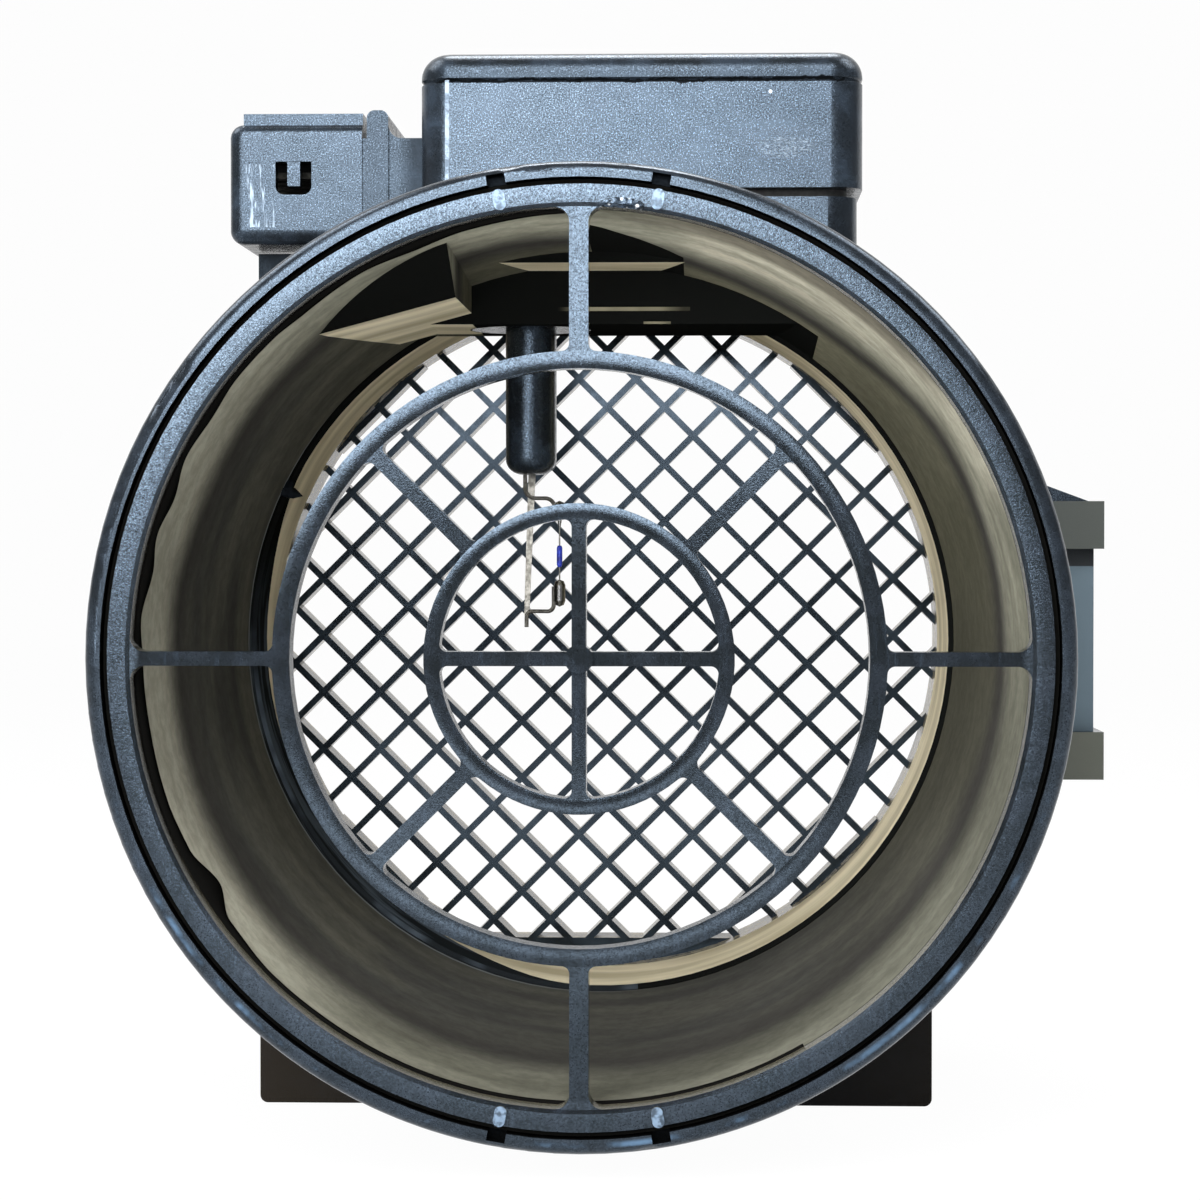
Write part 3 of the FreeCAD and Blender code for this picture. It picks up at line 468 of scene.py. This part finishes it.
def connector_marks(look, color, ragged):
    """Dark step with its nick, and a drawn corner, on the connector's front."""
    x, y, z = look.place
    on_front = look.both(look.front, look.within(y, *SOCKET_FRONT_Y))
    wavy = look.math("ADD", z, look.both(ragged, 0.3))
    step = look.both(look.within(wavy, *STEP_Z), look.within(x, *STEP_X))
    shadow = look.either(step, look.box(**STEP_NICK))
    color = look.mix(look.both(shadow, on_front, 0.75), color, STEP_SHADOW)
    drawn = look.span(look.noise(1500, 3, 0.7, look.stretched((1, 1, 0.12))), 0.5, 0.62, 0, 0.5)
    return look.mix(look.both(look.box(**DRAWN_CORNER), on_front, drawn), color, PALE_WEAR_AND_HIGHLIGHT)


def case_level(look, level):
    """Specular level of the parts of the case that take less light."""
    x, y, z = look.place
    level = look.both(level, look.span(x, *CONNECTOR_FADE_X, 0.8, 1.0))
    level = look.scaled(level, look.within(x, *COLLAR_X), 0.72)
    level = look.scaled(level, look.box(**BELOW_CONNECTOR), 0.15)
    lid_edge = look.both(look.above(z, CASE_TOP), look.below(look.facing[2], FLANK))
    return look.scaled(level, lid_edge, 0.55)


def case_plastic():
    """Grained case, with the dark joint of its lid, a painted highlight along the rib, scuffs and painted
    shade in the socket.
    """
    look = Look("case_plastic")
    color, level = speckled(look, CASE_DARK, CASE_HAZE, 1.0)
    x, y, z = look.place
    rub = look.span(look.noise(60, 5, 0.7, look.stretched((1, 1, 5))), 0.55, 0.7, 0, 0.12)
    color = look.mix(rub, color, CASE_RUB)
    ragged = look.span(look.noise(420, 4, 0.75), 0.3, 0.7, -JOINT_RAGGED, JOINT_RAGGED, smooth=False)
    joint = look.within(look.math("ADD", z, ragged), CASE_TOP - JOINT_BELOW, CASE_TOP + JOINT_ABOVE)
    joint = look.both(joint, look.below(y, CASE_FRONT))
    color = look.mix(look.both(joint, 0.9), color, JOINT_BLACK)
    color = case_marks(look, color)
    color = connector_marks(look, color, ragged)
    # painted shade inside the socket
    socket = look.box(**SOCKET)
    color = look.mix(socket, color, SOCKET_SHADE)
    neck_end = look.both(look.span(x, *NECK_FADE_X), look.box(**NECK_END), 0.7)
    set_level(look, case_level(look, level), look.either(socket, joint, neck_end), 0.05)
    return look.finish(color, uneven(look, 0.17, 0.26))


# Guard at the hose end

def crown(look, centre, half_width):
    """Height of a ring that is a little rounded across its width."""
    across = look.math("DIVIDE", look.math("SUBTRACT", look.radius, centre), half_width)
    return look.math("SUBTRACT", 1.0, look.both(across, across), clamp=True)


def guard_relief(look, rim, blister, bubbles):
    """Rounded rings, a finer grain on the outer one and the bubbles of the melted spot."""
    outer, middle, inner = (crown(look, *ring) for ring in (OUTER_RING, MIDDLE_RING, INNER_RING))
    look.bump(look.math("ADD", outer, look.math("ADD", middle, inner)), 0.000035)
    look.bump(look.both(look.noise(6500, 2, 0.9), rim), 0.000015)
    look.bump(look.both(blister, bubbles), 0.0002)


def guard_plastic():
    """Smoother plastic with drawn streaks, painted highlights on the pips, a melted spot with painted
    glints, an olive wall painted lighter low down, and painted shade in the groove round its edge, on the
    skirt and deep in the wall.
    """
    look = Look("guard_plastic")
    color, level = speckled(look, GUARD_DARK, GUARD_HAZE, 0.4)
    x, y, z = look.place
    rim = look.span(look.radius, *OUTER_RING_EDGE)
    blister = look.patch(**BLISTER)
    bubbles = look.cells(1700)
    guard_relief(look, rim, blister, bubbles)
    streak = look.span(look.noise(500, 4, 0.7, look.stretched((4, 1, 0.5))), 0.54, 0.7, 0, 0.3)
    color = look.mix(streak, color, GUARD_STREAK)
    # painted highlight on the faces of the pips
    broken_highlight = look.span(look.noise(1500, 2), 0.35, 0.65, 0.1, 0.5)
    color = look.mix(look.both(look.below(y, PIP_FACE_Y), broken_highlight), color, PIP_HIGHLIGHT)
    # painted glints on the bubbles
    color = look.mix(look.both(blister, look.span(bubbles, 0.18, 0.42, 1, 0)), color, BLISTER_GLINT)
    color = look.mix(look.both(blister, look.span(bubbles, 0.4, 0.5)), color, BLISTER_HOLLOW)

    wall = look.both(look.flank, look.above(look.radius, GUARD_WALL_RADIUS), look.below(y, GUARD_DEPTH))
    # painted light: the wall is lighter low down
    lower = look.span(z, *GUARD_LOWER_Z)
    color = look.mix(look.both(wall, 0.95), color, look.mix(lower, WALL_OLIVE, WALL_OLIVE_LIT))
    # painted shade deep in the wall above, in the groove and on the skirt
    deep_shade = look.both(wall, look.span(y, *GUARD_WALL_FADE_Y), look.outside_of(lower))
    color = look.mix(deep_shade, color, GUARD_SHADE_BLACK)
    groove = look.both(look.above(look.radius, GROOVE_RADIUS), look.above(y, GROOVE_DEPTH))
    skirt = look.both(look.above(y, SKIRT_START), look.above(look.radius, SKIRT_RADIUS))
    painted_shade = look.either(groove, skirt)
    color = look.mix(painted_shade, color, GUARD_SHADE_BLACK)
    set_level(look, look.scaled(level, rim, 1.3), look.either(painted_shade, look.both(look.flank, 0.7)), 0)
    return look.finish(color, uneven(look, 0.07, 0.11, scale=800))


# Duct housing

def catch_masks(look):
    """The fronts of the right clip catch: its lugs, and the plate between them."""
    return look.both(look.box(**CATCH), look.front), look.both(look.box(**CATCH_WEB), look.front)


def duct_outside(look, color, low, catch, web, gap_shade):
    """Brown foot, painted light on the catch's fronts with a painted shadow under the upper lug, painted
    glints on the rim's outer edge and painted shade in the gap round the guard.
    """
    x, y, z = look.place
    color = look.mix(look.both(low, 0.8), color, FOOT_BROWN)
    # painted light on the catch's fronts
    catch_lit_tone = look.mix(look.span(z, *CATCH_FADE_Z), CATCH_LIT_LOW, CATCH_LIT_HIGH)
    color = look.mix(look.both(catch, 0.85), color, catch_lit_tone)
    color = look.mix(look.both(web, 0.85), color, CATCH_WEB_LIT)
    web_shadow = look.both(web, look.within(z, *CATCH_WEB_SHADOW_Z), 0.85)
    color = look.mix(web_shadow, color, CATCH_SHADOW)
    drawn = look.span(look.noise(110, 4, 0.7), 0.46, 0.68)
    land = look.both(look.span(look.radius, *LAND_INNER), look.span(look.radius, *LAND_OUTER))
    land = look.both(land, look.span(y, *LAND_FADE_Y), look.span(z, *LAND_FADE_Z))
    color = look.mix(look.both(drawn, land, 0.4), color, LAND_GLINT)
    # painted shade in the gap round the guard
    return look.mix(gap_shade, color, GAP_SHADE)


class BoreTones:
    """Runs and clouds of the dust, and the painted light that makes them brighter at the upper right, shared
    by the films of the bore.
    """

    def __init__(self, look):
        x, y, z = look.place
        self.runs = look.noise(150, 2.5, 0.5, look.stretched((0.25, 1, 0.25)))
        self.cloud = look.noise(45, 4, 0.6)
        # painted light: the film is brighter towards the upper right
        self.lit_upper_right = look.span(look.math("ADD", x, z), *UPPER_RIGHT)
        self.to_lower_right = look.math("SUBTRACT", x, z)
        streak_turn = math.radians(60)
        along_x, along_z = look.both(x, math.cos(streak_turn)), look.both(z, math.sin(streak_turn))
        self.toward_streak = look.math("ADD", along_x, along_z)
        # band at the upper right with painted light; the near film reaches deeper there
        self.lit_band = look.both(look.span(self.toward_streak, *SHIFT_TOWARD), look.above(x, 0))
        self.streak_shift = look.both(self.lit_band, STREAK_SHIFT)


def near_film(look, tones):
    """Light film behind the guard, painted darker at the lower left, with a cream smear at the upper right
    that is partly dust and partly painted light, and painted shade before it.
    """
    x, y, z = look.place
    film = look.mix(look.span(tones.runs, 0.3, 0.7), NEAR_DARK, NEAR_LIGHT)
    film = look.mix(look.span(tones.cloud, 0.45, 0.7, 0, 0.5), film, NEAR_CLOUD)
    # painted shade at the lower left
    film = look.mix(tones.lit_upper_right, look.mix(0.35, film, NEAR_LOWER_LEFT_SHADE), film)
    from_streak = look.math("SUBTRACT", y, look.math("ADD", STREAK_DEPTH, tones.streak_shift))
    streak = look.span(look.math("ABSOLUTE", from_streak), *STREAK_FADE, 1, 0)
    streak = look.both(streak, look.span(tones.toward_streak, *STREAK_TOWARD), look.span(x, *STREAK_X))
    smear = look.span(look.noise(110, 4, 0.65, look.stretched((0.4, 1, 0.4))), 0.35, 0.65, 0.25, 0.75)
    # cream smear, partly painted light
    film = look.mix(look.both(streak, smear), film, CREAM_SMEAR_AND_LIGHT)
    # painted shade before the smear
    shade_before_streak = look.both(tones.lit_band, look.span(y, *BEFORE_STREAK_Y, 0.75, 0))
    film = look.mix(shade_before_streak, film, SHADE_BEFORE_STREAK)
    film = look.mix(look.span(x, *NEAR_LEFT_X, 0, 0.3), film, NEAR_LEFT)
    lower_right = look.span(tones.to_lower_right, *NEAR_LOWER_RIGHT_FADE, 0, 0.7)
    return look.mix(lower_right, film, NEAR_LOWER_RIGHT)


def far_film(look, tones):
    """Darker film towards the throat, with painted light at the upper right."""
    film = look.mix(look.span(tones.runs, 0.3, 0.75), FAR_DARK, FAR_LIGHT)
    film = look.mix(look.span(tones.cloud, 0.52, 0.7, 0, 0.35), film, FAR_CLOUD)
    # painted light at the upper right
    film = look.mix(look.both(tones.lit_upper_right, 0.6), film, FAR_UPPER_RIGHT_LIT)
    # painted light in the band at the upper right
    film = look.mix(look.both(tones.lit_band, 0.5), film, FAR_LIT_STREAK)
    lower_right = look.span(tones.to_lower_right, *FAR_LOWER_RIGHT_FADE, 0, 0.4)
    return look.mix(lower_right, film, FAR_LOWER_RIGHT)


def wall_film(look, tones):
    """Near and far film with a darker grey band between them, mottled, and painted shade, black, in the
    roof's recess.
    """
    x, y, z = look.place
    wander = look.span(look.noise(25, 2), 0.2, 0.8, -FILM_WANDER, FILM_WANDER, smooth=False)
    edge = look.math("SUBTRACT", look.math("ADD", y, wander), tones.streak_shift)
    film = look.mix(look.span(edge, *NEAR_END), near_film(look, tones), GREY_BAND)
    film = look.mix(look.span(edge, *FAR_BEGINNING), film, far_film(look, tones))
    mottling = look.span(look.noise(650, 4, 0.7), 0.35, 0.65, 0.0, 0.22)
    film = look.mix(mottling, film, MOTTLE)
    # painted shade in the roof's recess
    recess_start = look.math("ADD", ROOF_RECESS_START, look.both(x, ROOF_RECESS_SLOPE))
    recess_shade = look.both(look.above(y, recess_start), look.box(**ROOF_RECESS))
    return look.mix(recess_shade, film, RECESS_SHADE)


def throat_mask(look):
    x, y, z = look.place
    toward_left = look.math("ADD", x, look.both(z, 0.5))
    return look.above(y, look.span(toward_left, *THROAT_TURN, *THROAT_START))


def dust_and_light_mask(look, throat):
    """The throat, the ledge and the wedge's underside, which hold light dust, painted brighter as lit."""
    downward = look.facing[2]
    ledge = look.both(look.box(**LEDGE), look.below(downward, FLAT_DOWN))
    below_wedge = look.both(look.box(**BELOW_WEDGE), look.below(downward, DOWNWARD))
    return look.either(throat, ledge, below_wedge)


def shaded_film(look, film, throat, roof):
    """Painted shade, black, where the roof and the lip before the throat stay out of the light, with a
    painted shine on the lip and a painted highlight line along its edge.
    """
    x, y, z = look.place
    lip_start = look.span(x, *LIP_TURN, *LIP_START)
    lip = look.both(look.above(y, lip_start), look.outside_of(throat))
    below_roof = look.both(look.box(**BELOW_ROOF), look.below(look.facing[2], FLAT_DOWN))
    film = look.mix(look.either(lip, below_roof, roof, look.box(**ROOF_END)), film, SHADE_BLACK)
    shine = look.span(look.noise(140, 3, 0.6, look.stretched((0.5, 2.5, 0.5))), 0.45, 0.62, 0.1, 0.8)
    shine = look.both(shine, look.span(z, *LIP_SHINE_Z), look.box(**LIP))
    film = look.mix(look.both(shine, lip, 0.6), film, LIP_SHINE)
    # painted highlight line along the lip's edge
    lip_highlight = look.within(look.math("SUBTRACT", y, lip_start), *LIP_LINE_WIDTH)
    lip_highlight = look.both(lip_highlight, look.span(x, *LIP_LINE_X), look.span(z, *LIP_LINE_Z))
    return look.mix(look.both(lip_highlight, 0.6), film, LIP_HIGHLIGHT_LINE)


def roof_highlights(look, film, roof):
    """Painted highlights on two edges of the roof's front."""
    x, y, z = look.place
    broken_highlight = look.span(look.noise(120, 3, 0.6, look.stretched((1, 1, 0.1))), 0.4, 0.62, 0.1, 0.9)
    fade = look.both(look.span(x, *LINE_LEFT_X), look.span(x, *LINE_RIGHT_X))
    highlight_lines = look.either(look.box(**FIRST_LINE), look.box(**SECOND_LINE))
    return look.mix(look.both(highlight_lines, roof, broken_highlight, fade), film, ROOF_EDGE_HIGHLIGHT)


def bore_film(look):
    """Warm film of dust with runs along the air stream, and painted light and shade."""
    tones = BoreTones(look)
    throat = throat_mask(look)
    roof = look.both(look.box(**ROOF_FRONT), look.below(look.facing[1], ROOF_FRONTWARD))
    # light dust, painted brighter as lit
    lit_dust = look.mix(look.span(tones.runs, 0.3, 0.7), LIT_DUST_DARK, LIT_DUST_LIGHT)
    film = look.mix(dust_and_light_mask(look, throat), wall_film(look, tones), lit_dust)
    return roof_highlights(look, shaded_film(look, film, throat, roof), roof)


def housing_plastic():
    """Outside as the other plastics; the bore has a film of dust with painted light and shade, and no grain.
    """
    look = Look("housing_plastic")
    outside, level = speckled(look, DUCT_DARK, DUCT_HAZE, 0.6)
    x, y, z = look.place
    low = look.both(look.box(**FOOT), look.above(look.radius, FOOT_RADIUS))
    catch, web = catch_masks(look)
    gap_shade = look.both(look.within(look.radius, *RIM_GAP_RADIUS), look.within(y, *RIM_GAP_Y))
    outside = duct_outside(look, outside, low, catch, web, gap_shade)
    bore = look.both(look.below(look.radius, BORE_RADIUS), look.above(y, BORE_START),
                     look.below(look.facing[1], BACKWARD))
    smooth = look.outside_of(bore)
    look.heights = [(look.both(height, smooth), reach, strength) for height, reach, strength in look.heights]
    color = look.mix(bore, outside, bore_film(look))
    look.plug(look.shader.inputs["Specular Tint"], look.mix(bore, SHEEN, DUST_SHEEN))
    connector_web = look.both(look.box(**CONNECTOR_WEB), 0.85)
    dull = look.either(gap_shade, catch, web, connector_web, look.both(low, 0.85))
    set_level(look, look.scaled(level, bore, 0), dull, 0.04)
    return look.finish(color, uneven(look, 0.17, 0.26))


# Screen, metals and the small parts

def screen_plastic():
    """Strand faces dark, their flanks warm."""
    look = Look("screen_plastic")
    base = look.mix(look.span(look.noise(160, 3), 0.35, 0.65), SCREEN_DARK, SCREEN_LIGHT)
    warm = look.mix(look.span(look.noise(900, 3), 0.3, 0.7), STRAND_FLANK_DARK, STRAND_FLANK_LIGHT)
    color = look.mix(look.both(look.flank, 0.85), base, warm)
    look.bump(look.noise(600, 2), 0.00001, 0.3)
    look.shader.inputs["Specular Tint"].default_value = SHEEN
    look.plug(look.shader.inputs["Specular IOR Level"], look.span(look.flank, 0, 1, 0.35, 0.05))
    return look.finish(color, uneven(look, 0.13, 0.2, scale=900))


def metal(name, color, shade, rough):
    look = Look(name)
    wear = look.noise(1800, 4, 0.6)
    look.shader.inputs["Metallic"].default_value = 1.0
    look.bump(wear, 0.00003, 0.3)
    color = look.mix(look.span(wear, 0.35, 0.65), color, shade)
    return look.finish(color, uneven(look, rough * 0.8, rough * 1.3, scale=900))


def plain(name, color, shade, rough):
    look = Look(name)
    wear = look.noise(1500, 4, 0.6)
    look.bump(wear, 0.00004, 0.4)
    color = look.mix(look.span(wear, 0.35, 0.65), color, shade)
    return look.finish(color, uneven(look, rough * 0.85, rough * 1.15, scale=900))


def element_glass():
    look = Look("element_glass")
    look.shader.inputs["Coat Weight"].default_value = 0.6
    cloud = look.span(look.noise(1500, 2), 0.3, 0.7)
    return look.finish(look.mix(cloud, rgb("141d6e"), rgb("2c3fae")), 0.2)


looks = {
    "housing_plastic": housing_plastic(),
    "guard_plastic": guard_plastic(),
    "screen_plastic": screen_plastic(),
    "case_plastic": case_plastic(),
    "seal_rubber": plain("seal_rubber", rgb("151515"), rgb("242424"), 0.7),
    "plate_aluminium": metal("plate_aluminium", (0.72, 0.72, 0.73), (0.6, 0.6, 0.61), 0.35),
    "board_ceramic": plain("board_ceramic", rgb("e6e6de"), rgb("d8d8d0"), 0.5),
    "chip_resin": plain("chip_resin", rgb("191919"), rgb("262626"), 0.5),
    "capacitor_body": plain("capacitor_body", rgb("8f7048"), rgb("a2835a"), 0.45),
    "prong_steel": metal("prong_steel", (0.3, 0.29, 0.265), (0.14, 0.135, 0.12), 0.4),
    "weld_metal": metal("weld_metal", (0.5, 0.5, 0.5), (0.3, 0.3, 0.3), 0.18),
    "element_glass": element_glass(),
    "terminal_metal": metal("terminal_metal", (0.04, 0.04, 0.037), (0.025, 0.025, 0.023), 0.6),
    "ribbon_metal": metal("ribbon_metal", (0.75, 0.75, 0.75), (0.65, 0.65, 0.65), 0.3),
    "screw_steel": metal("screw_steel", (0.5, 0.5, 0.5), (0.38, 0.38, 0.38), 0.35),
}

for part in frame["record"]["subparts"]:
    for material_slot in nodes[part["node"]].material_slots:
        material_slot.material = looks[part["material_slot"]]


def smooth_object(name, verts, faces, material):
    mesh = bpy.data.meshes.new(name)
    mesh.from_pydata(verts, [], faces)
    mesh.materials.append(material)
    for face in mesh.polygons:
        face.use_smooth = True
    made = bpy.data.objects.new(name, mesh)
    bpy.context.collection.objects.link(made)
    return made


# Thin skirt on the wall behind the guard's ring, with a wavy edge at the left; the guard's material paints
# it black as shade

SHEET_FROM = 90
SHEET_SWEEP = 210
SHEET_STEPS = 840
SHEET_START = 0.0034
SHEET_STOPS = (
    (90, 4.6), (105, 6.0), (112, 7.4), (120, 5.2), (129, 6.0), (134, 4.9), (141, 4.7), (147, 6.2),
    (153, 4.6), (159, 7.6), (164, 5.2), (169, 7.4), (175, 4.8), (181, 6.4), (190, 6.8), (200, 6.4),
    (206, 7.0), (212, 11.6), (217, 5.8), (226, 4.4), (235, 4.6), (250, 4.4), (265, 4.3), (287, 4.1),
    (300, 3.9))
SHEET_ROWS = ((0, 0.00005), (0, 0.0004), (0.9, 0.0003), (1, 0.00003))
ENTRY_START = GUARD_DEPTH
ENTRY_RADIUS = 0.041
ENTRY_DRAW = 0.0008
ENTRY_LENGTH = 0.0214


def sheet_edge(angle):
    """Depth of the skirt's edge, in millimetres, at an angle in degrees from the right."""
    for (start, first), (end, second) in zip(SHEET_STOPS, SHEET_STOPS[1:]):
        if start <= angle <= end:
            share = (angle - start) / (end - start)
            return first + (second - first) * (3 * share ** 2 - 2 * share ** 3)
    return SHEET_STOPS[-1][1]


def shaded_skirt_sheet():
    """Skirt that hugs the bore, as wide as the edge line says and thin at its end."""
    verts, faces = [], []
    for step in range(SHEET_STEPS + 1):
        angle = SHEET_FROM + SHEET_SWEEP * step / SHEET_STEPS
        turn = math.radians(angle)
        end = sheet_edge(angle) / 1000
        for share, lift in SHEET_ROWS:
            y = SHEET_START + (end - SHEET_START) * share
            radius = ENTRY_RADIUS - ENTRY_DRAW * max(0, y - ENTRY_START) / ENTRY_LENGTH - lift
            verts.append((radius * math.cos(turn), y, radius * math.sin(turn)))
    rows = len(SHEET_ROWS)
    for step in range(SHEET_STEPS):
        for row in range(rows - 1):
            first = step * rows + row
            faces.append((first, first + 1, first + rows + 1, first + rows))
    made = smooth_object("shaded_skirt_sheet", verts, faces, looks["guard_plastic"])
    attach(made, "root")


shaded_skirt_sheet()


# Burr at the left of the throat

BURR_PLACE = Vector((-0.0346, 0.0578, 0.0166))
BURR_REACH = (0.0011, 0.0006, 0.00095)
BURR_ROWS = 9
BURR_COLUMNS = 14


def burr_point(row, column):
    """Point of a small ball with lobes and one thin barb."""
    tilt = math.pi * row / BURR_ROWS
    turn = 2 * math.pi * column / BURR_COLUMNS
    swell = 1 + 0.22 * math.sin(3 * turn + row) + 0.16 * math.sin(5 * turn + 2.1 * row)
    barb = 1 + 1.1 * max(0, math.cos(turn + 0.5)) ** 12 * math.sin(tilt) ** 6
    reach = Vector((BURR_REACH[0] * math.sin(tilt) * math.cos(turn) * barb,
                    BURR_REACH[1] * math.cos(tilt),
                    BURR_REACH[2] * math.sin(tilt) * math.sin(turn) * barb))
    return BURR_PLACE + reach * swell


def throat_burr():
    """Ragged lump of flash on the throat's edge."""
    verts = [burr_point(row, column) for row in range(BURR_ROWS + 1) for column in range(BURR_COLUMNS)]
    faces = []
    for row in range(BURR_ROWS):
        for column in range(BURR_COLUMNS):
            this_row, next_row = row * BURR_COLUMNS, (row + 1) * BURR_COLUMNS
            after = (column + 1) % BURR_COLUMNS
            faces.append((this_row + column, this_row + after, next_row + after, next_row + column))
    made = smooth_object("throat_burr", verts, faces, looks["case_plastic"])
    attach(made, "root")


throat_burr()


# Stage, light and camera

FLOOR_WIDTH = 6.0
FLOOR_NEAR = -0.45
FLOOR_FAR = 1.6
WALL_TOP = 3.0
FLOOR_BEND = 0.6
BEND_STEPS = 12
CAMERA_PLACE = (0.01186, -0.280, 0.00986)
CAMERA_TARGET = (0.00195, 0, 0.00536)
CAMERA_LENS = 93.24
CAMERA_SENSOR = 36.0


def stage_material():
    """White to the eye, with a share of real shading so that the shadow stays."""
    look = Look("stage_white")
    path = look.node("ShaderNodeLightPath").outputs
    seen = look.math("MAXIMUM", path["Is Camera Ray"],
                     look.math("MAXIMUM", path["Is Glossy Ray"], path["Is Transmission Ray"]))
    glow = look.node("ShaderNodeEmission")
    glow.inputs["Color"].default_value = (1, 1, 1, 1)
    blend = look.node("ShaderNodeMixShader")
    look.plug(blend.inputs[0], look.both(seen, 0.97))
    look.plug(blend.inputs[1], look.shader.outputs[0])
    look.plug(blend.inputs[2], glow.outputs[0])
    look.plug(look.tree.nodes["Material Output"].inputs["Surface"], blend.outputs[0])
    look.shader.inputs["Specular IOR Level"].default_value = 0
    tone = look.mix(look.noise(3, 2), (0.86, 0.86, 0.86), (0.9, 0.9, 0.9))
    return look.finish(tone, 0.9)


def build_stage():
    """Floor under the part that bends up into a wall behind it."""
    floor_z = lo.z
    bend_start = FLOOR_FAR - FLOOR_BEND
    profile = [(FLOOR_NEAR, floor_z), (bend_start, floor_z)]
    for step in range(1, BEND_STEPS + 1):
        angle = math.pi / 2 * step / BEND_STEPS
        rise = FLOOR_BEND * (1 - math.cos(angle))
        profile.append((bend_start + FLOOR_BEND * math.sin(angle), floor_z + rise))
    profile.append((FLOOR_FAR, WALL_TOP))
    verts = [(side * FLOOR_WIDTH / 2, y, z) for y, z in profile for side in (-1, 1)]
    faces = [(2 * i, 2 * i + 1, 2 * i + 3, 2 * i + 2) for i in range(len(profile) - 1)]
    made = smooth_object("stage_floor", verts, faces, stage_material())
    made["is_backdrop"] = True


def aim(made, place, target):
    made.location = place
    made.rotation_mode = "QUATERNION"
    made.rotation_quaternion = (Vector(target) - Vector(place)).to_track_quat("-Z", "Y")
    bpy.context.collection.objects.link(made)


def soft_light(name, place, target, width, height, power, mirrored=True):
    """Soft box; where it isn't mirrored, it lights the part without being seen in it."""
    data = bpy.data.lights.new(name, "AREA")
    data.shape = "RECTANGLE"
    data.size = width
    data.size_y = height
    data.energy = power
    made = bpy.data.objects.new(name, data)
    made.visible_glossy = mirrored
    aim(made, place, target)


def build_world():
    """Faint even light, with plain white behind the part."""
    world = bpy.data.worlds.new("studio")
    bpy.context.scene.world = world
    world.use_nodes = True
    tree = world.node_tree
    plain_light = tree.nodes["Background"]
    plain_light.inputs["Color"].default_value = (0.93, 0.95, 1.0, 1)
    plain_light.inputs["Strength"].default_value = 0.28
    white = tree.nodes.new("ShaderNodeBackground")
    white.inputs["Color"].default_value = (0.99, 0.99, 0.99, 1)
    path = tree.nodes.new("ShaderNodeLightPath")
    blend = tree.nodes.new("ShaderNodeMixShader")
    tree.links.new(path.outputs["Is Camera Ray"], blend.inputs[0])
    tree.links.new(plain_light.outputs[0], blend.inputs[1])
    tree.links.new(white.outputs[0], blend.inputs[2])
    tree.links.new(blend.outputs[0], tree.nodes["World Output"].inputs["Surface"])


def build_camera():
    data = bpy.data.cameras.new("camera")
    data.lens = CAMERA_LENS
    data.sensor_width = CAMERA_SENSOR
    data.clip_start = 0.01
    data.clip_end = 20
    made = bpy.data.objects.new("camera", data)
    aim(made, CAMERA_PLACE, CAMERA_TARGET)
    bpy.context.scene.camera = made


build_stage()
build_world()
soft_light("key_above", place=(-0.085, -0.36, 0.147), target=(-0.05, 0, 0.09),
           width=0.27, height=0.22, power=2.4)
soft_light("key_high", place=(-0.05, -0.30, 0.36), target=(-0.02, 0, 0.05),
           width=0.3, height=0.2, power=2.6)
soft_light("low_strip", place=(-0.02, -0.15, -0.0355), target=(-0.01, 0, -0.03),
           width=0.09, height=0.022, power=0.016)
soft_light("into_bore", place=(-0.28, -0.30, 0.0), target=(0.02, 0.01, 0.0),
           width=0.12, height=0.06, power=1.2, mirrored=False)
soft_light("side_left", place=(-0.36, 0.08, 0.44), target=(0, 0.045, 0),
           width=0.3, height=0.3, power=1.6)
soft_light("side_right", place=(0.36, 0.08, 0.44), target=(0, 0.045, 0),
           width=0.3, height=0.3, power=1.6)
soft_light("back_high", place=(0, 0.32, 0.6), target=(0, 0.06, 0.02),
           width=0.3, height=0.2, power=2.0)
build_camera()

bpy.context.scene.view_settings.view_transform = "Standard"

lo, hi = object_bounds()
